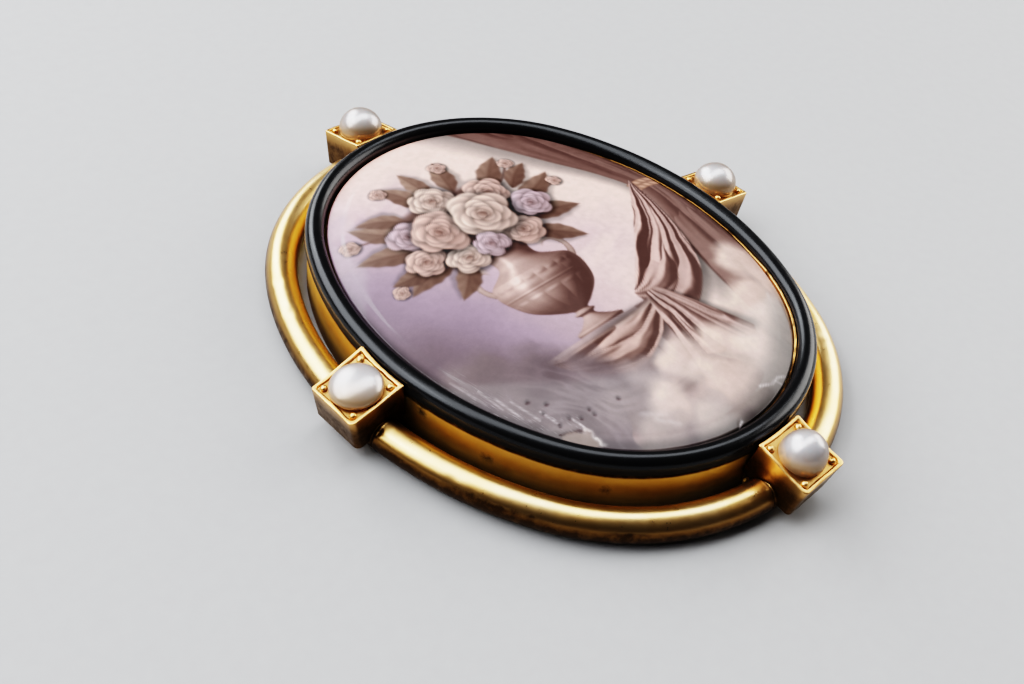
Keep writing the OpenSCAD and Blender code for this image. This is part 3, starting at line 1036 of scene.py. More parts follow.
# %% Painter's helpers
PAINT_LIGHT = np.array([-0.52, 0.5, 0.69])
SEPIA = {
    "tone": [0.0, 0.25, 0.5, 0.75, 1.0],
    "red": [0.35, 0.48, 0.63, 0.785, 0.93],
    "green": [0.255, 0.37, 0.525, 0.70, 0.87],
    "blue": [0.24, 0.345, 0.495, 0.675, 0.845],
}


def sepia(tone, tint=(1.0, 1.0, 1.0)):
    """Tone 0 to 1 on a ramp from dark brown over rose brown to cream, times a tint."""
    channels = [np.interp(tone, SEPIA["tone"], SEPIA[key]) for key in ("red", "green", "blue")]
    return np.stack(channels, -1) * np.array(tint)


def over(picture, colour, mask):
    """Lays a colour over the picture where the mask is 1."""
    mask = np.asarray(mask)[..., None]
    return picture * (1 - mask) + np.asarray(colour) * mask


def step(x, low, high):
    """Smooth step: 0 below low, 1 above high, with a level start and end."""
    t = np.clip((x - low) / (high - low), 0, 1)
    return t * t * (3 - 2 * t)


def puffs(x, y, size, seed, octaves=4):
    """Fractal noise: random numbers on a lattice, blended smoothly, with finer and weaker ones added."""
    table = np.random.default_rng(seed).random((64, 64))
    total, weight, amount, scale = 0.0, 0.0, 1.0, 1.0 / size
    for _ in range(octaves):
        u, v = x * scale + 31.7, y * scale + 17.3
        i, j = np.floor(u).astype(int), np.floor(v).astype(int)
        s, t = step(u - i, 0, 1), step(v - j, 0, 1)
        low = table[i % 64, j % 64] * (1 - s) + table[(i + 1) % 64, j % 64] * s
        high = table[i % 64, (j + 1) % 64] * (1 - s) + table[(i + 1) % 64, (j + 1) % 64] * s
        total = total + amount * (low * (1 - t) + high * t)
        weight, amount, scale = weight + amount, amount * 0.5, scale * 2
    return total / weight


def lit(relief, x, y, reach=0.05):
    """Dot product of the relief's normal, from differences of its height, with the painted light."""
    across = (relief(x + reach, y) - relief(x - reach, y)) / (2 * reach)
    along = (relief(x, y + reach) - relief(x, y - reach)) / (2 * reach)
    dot = PAINT_LIGHT[2] - across * PAINT_LIGHT[0] - along * PAINT_LIGHT[1]
    return np.clip(dot / np.sqrt(1 + across ** 2 + along ** 2), 0, 1)


def eased(x, knots, values):
    """Cubic curve through the knots, with each slope taken from the neighbours."""
    knots, values = np.array(knots, float), np.array(values, float)
    slope = np.gradient(values, knots)
    k = np.clip(np.searchsorted(knots, x) - 1, 0, len(knots) - 2)
    wide = knots[k + 1] - knots[k]
    t = np.clip((x - knots[k]) / wide, 0, 1)
    start = (2 * t ** 3 - 3 * t ** 2 + 1) * values[k] + (t ** 3 - 2 * t ** 2 + t) * wide * slope[k]
    return start + (3 * t ** 2 - 2 * t ** 3) * values[k + 1] + (t ** 3 - t ** 2) * wide * slope[k + 1]


print("sepia from dark to light:", sepia(np.array([0.0, 0.5, 1.0])).tolist())

# %% [markdown]
# ### Sky and clouds
# A painter lays in a sky with broad blends, here from cream at the top right over lilac to dark mauve at
# the lower left. Clouds are round touches laid over one another. Each is a shaded disc on warped
# coordinates, which makes its edge billow, and pale wisps are drawn over the dark ones.

# %% Sky and clouds
CREAM, LILAC = (0.905, 0.835, 0.81), (0.80, 0.72, 0.765)
VIOLET, MAUVE = (0.645, 0.565, 0.64), (0.44, 0.37, 0.395)
# Each cloud: middle (x, y) and size in mm, and how much of it is cream rather than mauve
FAR_CLOUDS = [
    (12.9, -8.6, 3.0, 1.0), (9.6, -11.6, 3.2, 1.0), (13.8, -12.5, 3.6, 0.9), (10.2, -15.0, 3.6, 0.9),
    (5.6, -13.6, 3.2, 1.0),
]
NEAR_CLOUDS = [
    (-14.0, -5.2, 3.2, 0.15), (-10.8, -7.6, 3.4, 0.0), (-13.2, -9.0, 3.0, 0.1), (-7.2, -10.2, 3.2, 0.0),
    (-10.4, -11.2, 3.0, 0.0), (-4.0, -12.2, 2.6, 0.35), (-12.2, -13.0, 3.0, 0.25), (-0.4, -13.2, 2.8, 0.95),
    (-7.4, -13.6, 3.0, 0.2), (3.6, -13.4, 2.9, 1.0), (-4.4, -15.0, 3.0, 1.0), (0.8, -16.4, 3.2, 1.0),
    (-7.0, -16.6, 3.0, 0.6), (5.6, -15.8, 3.2, 0.95), (-2.6, -18.6, 3.0, 0.85), (3.0, -18.8, 3.2, 0.75),
]
CLOUD_TONES = {
    "cream": ((0.755, 0.67, 0.65), (0.955, 0.895, 0.855)),
    "mauve": ((0.31, 0.25, 0.265), (0.54, 0.475, 0.49)),
}


def paint_sky(x, y):
    """Cream at the top right, then lilac, violet and dark mauve towards the lower left."""
    low = -(0.78 * x + 0.62 * y) + 6 * (puffs(x, y, 8, 3, 3) - 0.5)
    left = step(0.78 * y - 0.62 * x + 6 * (puffs(x, y, 9, 4, 3) - 0.5), -12, 6)
    picture = over(np.broadcast_to(CREAM, x.shape + (3,)), LILAC, 0.9 * left * step(low, -10, -1))
    picture = over(picture, VIOLET, 0.95 * left * step(low, 0, 9))
    picture = over(picture, MAUVE, 0.88 * step(low, 7, 14))
    streaks = puffs(x + 0.6 * y, 3.2 * (y - 0.5 * x), 7, 5, 3)
    return over(picture, (0.93, 0.86, 0.83), 0.5 * step(streaks, 0.5, 0.75) * step(-low, -8, 6))


def paint_clouds(picture, x, y, clouds):
    """Each cloud is a dome on warped coordinates: its tone follows the dome's height and its side to
    the light."""
    wx = x + 2.6 * (puffs(x, y, 3.0, 11) - 0.5)
    wy = y + 2.6 * (puffs(x, y, 3.0, 12) - 0.5)
    for cx, cy, size, cream in clouds:
        u, v = (wx - cx) / size, (wy - cy) / size
        r = np.hypot(u, v)
        dome = np.sqrt(np.clip(1 - r ** 2, 0, 1))
        tone = np.clip(0.35 * dome + 0.62 * (-u * 0.45 + v * 0.75) + 0.30, 0, 1)[..., None]
        colour = 0.0
        for share, key in ((cream, "cream"), (1 - cream, "mauve")):
            shade, light = np.array(CLOUD_TONES[key])
            colour = colour + share * (shade + tone * (light - shade))
        picture = over(picture, colour, 0.88 * step(-r, -1.03, -0.42))
    return picture


def paint_wisps(picture, x, y):
    """Pale strands over the dark clouds: ridges of a noise that is drawn out along the rim and bent by
    another."""
    bend = 3.4 * (puffs(x, y, 4.0, 91, 2) - 0.5)
    along, across = 0.62 * x - 0.78 * y + bend, 0.78 * x + 0.62 * y + bend
    ridge = 1 - np.abs(2 * puffs(along / 3.0, across, 1.2, 92, 3) - 1)
    where = np.exp(-((x + 9.0) / 6.0) ** 2 - ((y + 12.0) / 4.6) ** 2)
    return over(picture, (0.80, 0.735, 0.755), 0.3 * where * step(ridge, 0.66, 1.0))


print("clouds:", len(FAR_CLOUDS), "far and", len(NEAR_CLOUDS), "near ones")

# %% [markdown]
# ### Cloth
# Painted drapery is rows of soft ridges with narrow dark valleys. A cloth simulation could give such
# folds, but a relief formula is enough for a picture, and it stays the same each time. The swag hangs
# between two pins, so its folds keep to curves that are deepest in the middle.

# %% Folds and the swag
def folds(phase, sharp=0.85):
    """Rounded ridges with narrow valleys: the absolute sine to a power below one."""
    return np.abs(np.sin(math.pi * phase)) ** sharp


def creases(along, across, seed):
    """Folds that branch and fade: noise drawn out along the cloth, with a valley wherever it crosses
    its middle."""
    soft = puffs(along * 0.9, across, 1.0, seed, 2)
    return np.abs(2 * soft - 1) ** 0.8


def paint_swag(picture, x, y, left, right, sag, count, tint, seed):
    """Cloth between two pins: each fold keeps one ratio of its drop below the chord to 4 u (1 - u)."""
    (x0, y0), (x1, y1) = left, right

    def drop(px, py):
        """Distance below the chord over (4 u (1 - u)) to the power 0.8, and u, the share of the span."""
        u = np.clip((px - x0) / (x1 - x0), 0.004, 0.996)
        chord = y0 + (y1 - y0) * u
        return (chord - py) / (4 * u * (1 - u)) ** 0.8, u

    def relief(px, py):
        """Folds and creases, both highest in the middle of the span."""
        px = px + 0.6 * (puffs(px, py, 3.5, seed) - 0.5)
        py = py + 0.9 * (puffs(px, py, 4.0, seed + 1) - 0.5)
        q, u = drop(px, py)
        part = q / sag
        wobble = part + 0.06 * np.sin(5.0 * u + 3.0 * part) + 0.09 * part * (1 - part)
        deep = sag / count * (4 * u * (1 - u)) ** 0.5
        fine = creases(1.8 * u, 1.5 * count * part, seed + 2)
        return deep * (0.50 * folds(count * wobble) + 0.75 * fine)

    q, u = drop(x, y)
    scallop = sag * (1 + 0.05 * np.sin(9 * u + seed))
    inside = step(q, 0.25, 0.5) * step(scallop - q, 0, 0.16)
    inside = inside * step(u, 0.004, 0.03) * step(1 - u, 0.004, 0.03)
    shadow = step(q, 0.3, 1.0) * step(scallop - q, -1.4, 0) * step(u, 0.02, 0.1) * step(1 - u, 0.02, 0.1)
    picture = picture * (1 - 0.34 * shadow[..., None])
    tone = 0.02 + 0.92 * lit(relief, x, y, 0.07) ** 1.2 * (1.06 - 0.22 * q / sag)
    tone = tone + 0.08 * step(-np.abs(scallop - q - 0.25), -0.14, -0.04)
    return over(picture, sepia(tone, tint), inside)


print("heights over one fold:", folds(np.linspace(0, 1, 5)).round(2))

# %% [markdown]
# ### Hanging end
# Beside the swag an end of the same cloth hangs from one pin. Its folds fan out as they fall, and the
# hem steps up and down with them, as the edge of gathered cloth does.

# %% Hanging end
def paint_fall(picture, x, y, top, wide, flare, long, count, tint, seed):
    """Cloth hanging from one pin: folds fan out below it, and the hem steps up and down with them."""
    x0, y0 = top

    def across(px, py):
        """Place across the cloth from -1 to 1, how far down it is, and its half width there."""
        fall = np.clip((y0 - py) / long, 0, 1.3)
        half = wide * (0.22 + 0.78 * fall ** 0.6) + flare * fall ** 1.5
        return (px - x0 - 0.3 * flare * fall) / half, fall, half

    def relief(px, py):
        """Folds and creases as high as one fold is wide."""
        px = px + 0.5 * (puffs(px, py, 2.4, seed) - 0.5)
        a, fall, half = across(px, py)
        part = 0.5 + 0.5 * a + 0.05 * np.sin(4 * a + 3 * fall)
        deep = 2 * half / count
        fine = creases(1.6 * fall, 1.6 * count * part, seed + 1)
        return deep * (0.55 * folds(count * part) + 0.55 * fine)

    a, fall, half = across(x, y)
    saw = np.abs(((0.5 + 0.5 * a) * count / 2 + 0.25) % 1 - 0.5) * 2
    hem = 0.82 + 0.16 * saw + 0.05 * np.sin(5 * a + seed)
    inside = step(1 - np.abs(a), 0.0, 0.07) * step(fall, 0.0, 0.02) * step(hem - fall, 0.0, 0.025)
    shade = step(1.15 - np.abs(a - 0.14), 0.0, 0.35) * step(fall, 0.02, 0.1)
    shade = shade * step(hem + 0.06 - fall, 0.0, 0.12)
    picture = picture * (1 - 0.32 * shade[..., None])
    tone = 0.02 + 0.92 * lit(relief, x, y, 0.07) ** 1.2
    tone = tone * (0.78 + 0.22 * step(hem - fall, 0, 0.3))
    tone = tone + 0.08 * step(-np.abs(hem - fall - 0.04), -0.03, -0.005)
    return over(picture, sepia(tone, tint), inside)


# %% [markdown]
# ### Curtain
# A dark curtain closes the picture on the right. A double cord gathers it, so its edge is a smooth curve
# through a few points and its folds keep one share of its width from top to bottom.

# %% Curtain
CURTAIN_HEIGHTS = [-20, -14, -8, -2, 3.2, 6, 10, 15, 20]
CURTAIN_EDGES = [8.0, 8.2, 9.2, 11.0, 12.6, 11.4, 8.9, 6.4, 4.6]
CURTAIN_END = 17.5  # past the plaque's rim on the right
CORD_HEIGHTS = (3.5, 2.85)


def curtain_edge(y):
    """How far to the right the curtain starts at a height."""
    return eased(y, CURTAIN_HEIGHTS, CURTAIN_EDGES)


def paint_curtain(picture, x, y):
    """Dark cloth from the top right, drawn together by a cord: folds keep one share of the width."""
    def share(px, py):
        """0 at the curtain's edge and 1 past the rim."""
        edge = curtain_edge(py)
        return (px - edge) / (CURTAIN_END - edge)

    def relief(px, py):
        """Folds and creases in proportion to the curtain's width."""
        a = share(px + 0.5 * (puffs(px, py, 3, 21) - 0.5), py)
        wide = (CURTAIN_END - curtain_edge(py)) / 4
        fine = creases(py / 9, 5.0 * a, 22)
        return wide * (0.42 * folds(2.7 * a + 0.15 * np.sin(py / 4)) + 0.55 * fine)

    a = share(x, y)
    picture = picture * (1 - 0.30 * step(a, -0.30, 0.02)[..., None])
    tone = 0.06 + 0.38 * lit(relief, x, y, 0.08) ** 1.3
    picture = over(picture, sepia(tone, (1.0, 0.98, 0.98)), step(a, 0.0, 0.04))
    for tie_y in CORD_HEIGHTS:
        d = np.abs(y - tie_y - 0.10 * (x - 12) + 0.06 * (x - 14) ** 2)
        rope = np.sqrt(np.clip(1 - (d / 0.36) ** 2, 0, 1))
        twist = 0.5 + 0.5 * np.sin(7 * x + 6 * (y - tie_y))
        cord = sepia(0.22 + 0.30 * rope + 0.22 * rope * twist, (1.04, 0.98, 0.90))
        picture = over(picture, cord, step(rope, 0.0, 0.5) * step(a, -0.07, -0.03))
    return picture


print("the curtain starts at x =", curtain_edge(np.array(CORD_HEIGHTS)).round(2), "mm at its cords")

# %% [markdown]
# ### Plinth
# The urn stands on a stone block with a moulded top, and the near clouds roll over its foot. The block is
# seen from the front, so its outline is half a width for each height, and its tone steps with the
# mouldings: pale where they face up and dark where they face down.

# %% Plinth
PLINTH = {"x": -3.2, "top": -5.6, "half": 4.6}
# Distances below the top, and how far the outline steps out and how much paler the stone is at each
PLINTH_BELOW = [0, 0.35, 0.5, 0.9, 1.2, 1.6, 6.6, 7.0, 7.3, 9.0]
PLINTH_OUT = [0.75, 0.75, 0.5, 0.45, 0.1, 0.0, 0.0, 0.3, 0.6, 0.6]
PLINTH_PALER = [0.26, 0.14, -0.18, -0.16, -0.24, 0.0, 0.0, -0.12, 0.14, 0.0]


def paint_plinth(picture, x, y):
    """A block with a moulded top: its half width steps out at the cornice, and its right side turns
    from the light."""
    below = PLINTH["top"] - y
    half = PLINTH["half"] + eased(below, PLINTH_BELOW, PLINTH_OUT)
    u = (x - PLINTH["x"]) / half
    tone = 0.50 - 0.10 * u + 0.10 * (puffs(x, y, 1.2, 31) - 0.5) - 0.28 * step(u, 0.56, 0.60) - 0.03 * below
    tone = tone + eased(below, PLINTH_BELOW, PLINTH_PALER)
    panel = np.maximum(np.abs(u + 0.22) / 0.60, np.abs(below - 4.4) / 2.0)
    tone = tone - 0.16 * step(-np.abs(panel - 1.0), -0.06, -0.01)
    inside = step(1 - np.abs(u), 0.0, 0.03) * step(below, -0.05, 0.06) * step(-below, -9.2, -7.6)
    shade = step(1.14 - np.abs(u - 0.14), 0, 0.25) * step(below, 0.2, 1.5) * step(-below, -9.2, -7.6)
    picture = picture * (1 - 0.3 * shade[..., None])
    return over(picture, sepia(tone, (0.98, 0.97, 1.0)), inside)


print("the plinth is", 2 * PLINTH["half"], "mm wide")

# %% [markdown]
# ### Urn
# The urn is turned on a wheel, so one curve of half width against height says all of its shape. A lathed
# mesh could be rendered, but the painter needs only its shading. The relief is half a circle at each
# height, with flutes, beads and lines raised on it, and a ring on each side is the handle.

# %% Urn
URN_X = -3.2
URN_HEIGHTS = [
    -5.6, -5.25, -5.1, -4.7, -4.2, -3.95, -3.7, -3.3, -2.3, -0.8,
    0.5, 1.3, 1.75, 2.2, 2.9, 3.5, 4.0, 4.3, 4.6,
]
URN_HALVES = [
    2.1, 2.1, 1.7, 1.0, 0.62, 0.95, 0.62, 1.3, 2.75, 3.65,
    3.85, 3.5, 2.7, 2.0, 1.75, 1.95, 2.6, 3.05, 3.0,
]


def urn_half(y):
    """Half the urn's width at a height."""
    return eased(y, URN_HEIGHTS, URN_HALVES)


def paint_urn(picture, x, y):
    """A turned vessel: its height above the picture is the root of half width squared less distance
    squared."""
    def relief(px, py):
        """Half a circle at each height, plus flutes, a row of beads, two lines and a row of leaves."""
        half = urn_half(py)
        u = np.clip((px - URN_X) / half, -0.999, 0.999)
        round_it = half * np.sqrt(1 - u ** 2)
        turn = np.arcsin(u)
        flutes = 0.13 * np.abs(np.cos(7 * turn)) * step(py, -3.3, -2.6) * step(-py, 0.75, 1.1)
        beads = 0.12 * np.abs(np.sin(11 * turn)) * np.exp(-((py - 0.75) / 0.22) ** 2)
        lines = 0.05 * np.exp(-((py + 0.35) / 0.08) ** 2) + 0.06 * np.exp(-((py - 1.3) / 0.08) ** 2)
        leafs = 0.10 * np.abs(np.sin(5 * turn)) * np.exp(-((py - 0.15) / 0.35) ** 2)
        return round_it + flutes + beads + lines + leafs

    for side in (-1, 1):
        ax, ay = URN_X + side * 3.15, 1.85
        u, v = (x - ax) * side, y - ay
        d = np.abs(np.hypot(u / 0.95, v / 1.35) - 1) * 1.05
        arc = step(-(v * -0.4 - u), -0.5, 0.2)
        tube = np.sqrt(np.clip(1 - (d / 0.27) ** 2, 0, 1))
        glow = -0.4 * (x - ax) + 0.5 * (y - ay)
        picture = over(picture, sepia(0.25 + 0.45 * tube + 0.12 * glow), step(tube, 0.0, 0.4) * arc)
    half = urn_half(y)
    u = (x - URN_X) / half
    tone = 0.10 + 0.74 * lit(relief, x, y, 0.05) - 0.12 * step(u, 0.1, 0.8) + 0.10 * step(u, 0.82, 1.0)
    tone = tone + 0.22 * np.exp(-((u + 0.42) / 0.13) ** 2) * step(y, -2.6, 0.5)
    inside = step(half - np.abs(x - URN_X), -0.03, 0.08) * step(y, -5.62, -5.52) * step(-y, -4.65, -4.55)
    shade = np.exp(-((x - URN_X - 1.6) / 3.0) ** 2 - ((y + 5.85) / 0.35) ** 2)
    picture = picture * (1 - 0.35 * shade[..., None])
    return over(picture, sepia(tone, (1.0, 0.985, 0.985)), inside)


print(f"the urn is {2 * urn_half(0.5):.1f} mm wide at its belly")

# %% [markdown]
# ### Leaves
# Leaves stick out all round the bouquet. Each is one touch of the brush: a pointed oval on a bent axis,
# light on one side of its rib and dark on the other.

# %% Leaves
# Each leaf: foot (x, y), length and width in mm, angle in degrees and tone
LEAVES = [
    ((-7.6, 7.0), 5.0, 1.1, 152, 0.40), ((-7.2, 9.0), 4.6, 1.05, 126, 0.46),
    ((-4.4, 10.6), 4.6, 1.0, 104, 0.42), ((-1.4, 10.8), 4.4, 1.0, 68, 0.40),
    ((0.8, 9.4), 5.0, 1.1, 40, 0.36), ((1.8, 7.4), 4.8, 1.1, 16, 0.34),
    ((-6.6, 5.0), 4.8, 1.1, 188, 0.36), ((0.8, 5.6), 4.8, 1.1, -18, 0.30),
    ((-5.8, 4.4), 4.2, 1.0, 218, 0.32), ((0.0, 4.4), 4.4, 1.0, -46, 0.28),
    ((-3.0, 11.4), 4.0, 0.9, 88, 0.48), ((-6.2, 10.0), 4.2, 0.9, 142, 0.40),
    ((2.4, 8.6), 4.0, 0.9, 30, 0.30), ((-8.2, 5.6), 3.4, 0.9, 172, 0.30),
]


def paint_leaf(picture, x, y, at, length, width, angle, tone):
    """A pointed oval on a bent axis: width times sin(pi u) with a light half, a dark half and ribs."""
    c, s = math.cos(math.radians(angle)), math.sin(math.radians(angle))
    dx, dy = x - at[0], y - at[1]
    u = (dx * c + dy * s) / length
    t = np.clip(u, 0, 1)
    v = (-dx * s + dy * c) / width - 0.35 * math.sin(3 * angle) * np.sin(math.pi * t) - 0.2 * t ** 2
    edge = np.sin(math.pi * t ** 0.8) * (1 + 0.04 * np.sin(30 * u))
    upper = np.tanh(4 * v) * (1 if c > 0 else -1)
    ribs = np.cos(26 * u - 6 * np.abs(v)) * step(np.abs(v), 0.1, 0.4)
    shade = tone - 0.12 + 0.10 * upper + 0.04 * ribs + 0.16 * t - 0.10 * np.exp(-(v / 0.12) ** 2)
    inside = step(edge - np.abs(v), 0.0, 0.25) * step(u, 0, 0.03) * step(-u, -1, -0.97)
    picture = picture * (1 - 0.20 * step(edge * 1.3 - np.abs(v + 0.25), 0, 0.5)[..., None])
    return over(picture, sepia(shade, (0.99, 0.98, 0.93)), inside)


print("leaves:", len(LEAVES))

# %% [markdown]
# ### Roses
# A rose is rings of round petals, painted from the outside in, so that each covers part of those before
# it. Every petal darkens what lies beside it and pales towards its own rim, and the whole flower is
# lighter on the side of the light. Only the points near a rose are worked on, which saves time.

# %% Roses
ROSE_LAYERS = {
    "petals": [6, 5, 4, 4, 3, 3],
    "away": [0.60, 0.47, 0.36, 0.23, 0.13, 0.05],
    "size": [0.50, 0.47, 0.40, 0.32, 0.24, 0.15],
    "tone": [0.62, 0.66, 0.68, 0.65, 0.58, 0.48],
}


def paint_rose(picture, x, y, at, size, turn, tint, flat=1.0):
    """Rings of round petals from the outside in. Each darkens what it covers and pales towards its own
    rim."""
    dx, dy = (x - at[0]) / size, (y - at[1]) / size / flat
    near = np.hypot(dx, dy) < 1.35
    if not near.any():
        return picture
    px, py, part = dx[near], dy[near], picture[near]
    part = part * (1 - 0.45 * step(-np.hypot(px - 0.08, py + 0.12), -1.3, -0.8)[..., None])
    rows = zip(ROSE_LAYERS["petals"], ROSE_LAYERS["away"], ROSE_LAYERS["size"], ROSE_LAYERS["tone"])
    volume = 0.15 * (-0.6 * px + 0.75 * py)
    for layer, (count, away, petal, tone) in enumerate(rows):
        for k in range(count):
            a = turn + layer * 0.9 + 2 * math.pi * k / count + 0.3 * math.sin(3.7 * k + turn)
            cx, cy = away * math.cos(a), away * math.sin(a)
            wide = petal * (1 + 0.12 * math.sin(5 * k + 2 * turn))
            r = np.hypot(px - cx, py - cy) / wide
            outward = ((px - cx) * math.cos(a) + (py - cy) * math.sin(a)) / wide
            part = part * (1 - 0.13 * step(-r, -1.4, -0.85)[..., None])
            shade = tone + 0.24 * outward + volume + 0.10 * step(r, 0.6, 0.95) * step(outward, 0, 0.7)
            shade = shade - 0.10 * step(-outward, 0.0, 1.0)
            part = over(part, sepia(shade, tint), step(-r, -1.0, -0.78))
    picture = picture.copy()
    picture[near] = part
    return picture


print("petals of each rose:", sum(ROSE_LAYERS["petals"]))

# %% [markdown]
# ### Bouquet
# The bouquet is laid in the order of its depth: stems of the buds first, then leaves, a dark mass in
# which the flowers sit, the roses from the outer ones to the middle, and the buds last.

# %% Bouquet
WARM, COOL_PINK, PALE = (1.0, 0.95, 0.93), (0.95, 0.93, 1.0), (1.03, 1.02, 1.0)
# Each rose: middle (x, y) and size in mm, turn in radians, tint, and its height as a share of its width
ROSES = [
    ((-7.4, 9.0), 1.6, 0.3, COOL_PINK, 1.0), ((0.6, 9.4), 1.7, 1.4, WARM, 1.0),
    ((-3.4, 11.0), 1.8, 2.2, PALE, 0.95), ((2.3, 6.6), 1.6, 0.9, COOL_PINK, 0.95),
    ((-8.2, 6.2), 1.5, 2.9, WARM, 0.95), ((-5.6, 4.7), 1.65, 1.9, PALE, 0.85),
    ((-0.4, 4.7), 1.75, 0.1, WARM, 0.85), ((-5.4, 8.0), 2.2, 0.7, WARM, 1.0),
    ((-1.5, 7.7), 2.5, 1.2, PALE, 1.0), ((-3.3, 4.9), 1.35, 2.4, COOL_PINK, 0.95),
]
BUDS = [  # middle (x, y) and size in mm
    (-11.0, 10.8, 0.72), (-5.8, 14.2, 0.66), (-0.2, 14.0, 0.72), (4.4, 11.4, 0.64), (5.8, 7.6, 0.6),
    (-11.4, 5.0, 0.6),
]


def paint_bouquet(picture, x, y):
    """Stems, leaves, the dark mass, roses and buds. Each stem runs from its bud to the bouquet's middle."""
    for cx, cy, size in BUDS:
        toward = np.array([URN_X - cx, 6.5 - cy])
        toward = toward / np.hypot(*toward)
        along = (x - cx) * toward[0] + (y - cy) * toward[1]
        aside = (x - cx) * toward[1] - (y - cy) * toward[0]
        bend = 0.25 * np.sin(along * 0.8)
        stem = step(-np.abs(aside + bend), -0.17, -0.07) * step(along, 0.1, 0.3) * step(-along, -5.2, -4.6)
        picture = over(picture, sepia(0.26), 0.85 * stem)
    for at, length, width, angle, tone in LEAVES:
        picture = paint_leaf(picture, x, y, at, length, width, angle, tone)
    mass = np.exp(-((x + 3.2) / 4.9) ** 4 - ((y - 7.4) / 3.9) ** 4)
    picture = over(picture, sepia(0.10 + 0.26 * puffs(x, y, 0.9, 41)), step(mass, 0.35, 0.6))
    for at, size, turn, tint, flat in ROSES:
        picture = paint_rose(picture, x, y, at, size, turn, tint, flat)
    for cx, cy, size in BUDS:
        picture = paint_rose(picture, x, y, (cx, cy), size, cx, WARM)
    return picture


print("bouquet:", len(ROSES), "roses,", len(BUDS), "buds and", len(LEAVES), "leaves")

# %% [markdown]
# ### Whole picture
# The layers are laid from the back to the front. The urn, its plinth and the cloth on it are one group,
# which is scaled and moved as a whole. Painted shade darkens two stretches near the plaque's rim, where its
# shoulder falls away from the light, and a fine grain stands for the brush. The wear of the glaze comes
# last: its scratches are pale, the lost flake is pale with painted shade along one edge and a painted
# highlight along the others, and its pits are dark.

# %% Whole picture
GROUP = {"scale": 1.12, "from": (-3.2, -5.6), "to": (-2.8, -7.2)}
SPOT = 0.035  # how far, in mm, the spots of one cell lie to each side of its point
CHIPPED, CHIP_SHADE, CHIP_HIGHLIGHT = (0.72, 0.635, 0.585), (0.33, 0.26, 0.25), (0.96, 0.94, 0.93)
SCRATCH, PIT = (0.95, 0.93, 0.94), (0.25, 0.20, 0.21)


def painting(x, y):
    """Colours of the painting at points x, y in mm from its middle, with y up."""
    gx = (x - GROUP["to"][0]) / GROUP["scale"] + GROUP["from"][0]
    gy = (y - GROUP["to"][1]) / GROUP["scale"] + GROUP["from"][1]
    picture = paint_sky(x, y)
    picture = paint_curtain(picture, x, y)
    picture = paint_swag(picture, x, y, (1.6, -6.4), (13.4, 4.6), 8.0, 3.2, (0.98, 0.95, 0.95), 51)
    picture = paint_clouds(picture, x, y, FAR_CLOUDS)
    picture = paint_plinth(picture, gx, gy)
    picture = paint_swag(picture, gx, gy, (-8.5, -5.8), (2.0, -5.6), 3.9, 2.4, (1.0, 0.97, 0.96), 55)
    picture = paint_fall(picture, gx, gy, (2.1, -5.1), 2.3, 1.6, 7.6, 4, (0.97, 0.94, 0.94), 63)
    picture = paint_clouds(picture, x, y, NEAR_CLOUDS)
    picture = paint_wisps(picture, x, y)
    picture = paint_urn(picture, gx, gy)
    picture = paint_bouquet(picture, gx, gy)
    share = np.hypot(x / 16.0, y / 19.7)
    # Painted shade near two stretches of the rim, where the plaque's shoulder falls away from the light
    dark = 0.36 * step(share, 0.86, 0.97) * step(0.62 * x - 0.78 * y, 9, 17) * step(-y, 11, 16)
    dark = dark + 0.3 * step(share, 0.95, 0.995) * step(-0.78 * x - 0.62 * y, 4, 13)
    grain = puffs(x, y, 0.4, 71, 2) - 0.5
    return np.clip(picture * (1 + 0.05 * grain - dark)[..., None], 0, 1)


def worn_painting(x, y):
    """The mean of four spots near each point, which stands for a whole cell of the mesh, with the glaze's
    marks on top, and painted shade and a painted highlight at the edges of the lost flake."""
    picture = sum(painting(x + i * SPOT, y + j * SPOT) for i in (-1, 1) for j in (-1, 1)) / 4
    broken = 0.6 + 0.4 * step(puffs(x, y, 0.5, 81, 2), 0.35, 0.6)
    wx, wy = x + 0.5 * (puffs(x, y, 0.8, 82, 2) - 0.5), y + 0.5 * (puffs(x, y, 0.8, 83, 2) - 0.5)
    picture = over(picture, CHIPPED, 0.6 * step(inside_flake(wx, wy), -0.05, 0.2))
    # Painted shade along one edge of the flake and a painted highlight along its others
    picture = over(picture, CHIP_SHADE, 0.55 * broken * bell(near_line(wx, wy, FLAKE[:2]), 0.08))
    picture = over(picture, CHIP_HIGHLIGHT, 0.9 * broken * bell(near_line(wx, wy, FLAKE[1:4]), 0.12))
    for line, wide, strength in STREAKS:
        picture = over(picture, SCRATCH, strength * broken * bell(near_line(x, y, line), wide))
    for px, py in PITS:
        picture = over(picture, PIT, 0.8 * bell(np.hypot(x - px, y - py), 0.16))
    return picture


# %% [markdown]
# ### Paint on the plaque
# The colours above are what the picture should look like on the screen, and a shader wants the share of
# light that the paint gives back. The film view's curve, read backwards, turns the one into the other.
# The result goes to the plaque's points as a colour, which needs no image file.

# %% Paint on the plaque
# The film view's curve read backwards: the tone on the screen, and the light that gives it
SCREEN = np.array([0, 20, 40, 60, 80, 100, 120, 140, 160, 180, 200, 220, 230, 240]) / 255
LIGHT = [0.0, 0.023, 0.044, 0.068, 0.094, 0.125, 0.163, 0.212, 0.277, 0.371, 0.522, 0.816, 1.11, 1.72]
LAMPS, VEIL = 1.45, 0.05  # how bright the lamps make a white plaque, and the glaze's own reflection


def to_paint(colour):
    """The paint that shows as a screen colour: its light less the glaze's veil, divided by the lamps'
    light."""
    return np.clip((np.interp(colour, SCREEN, LIGHT) - VEIL) / LAMPS, 0.004, 0.8)


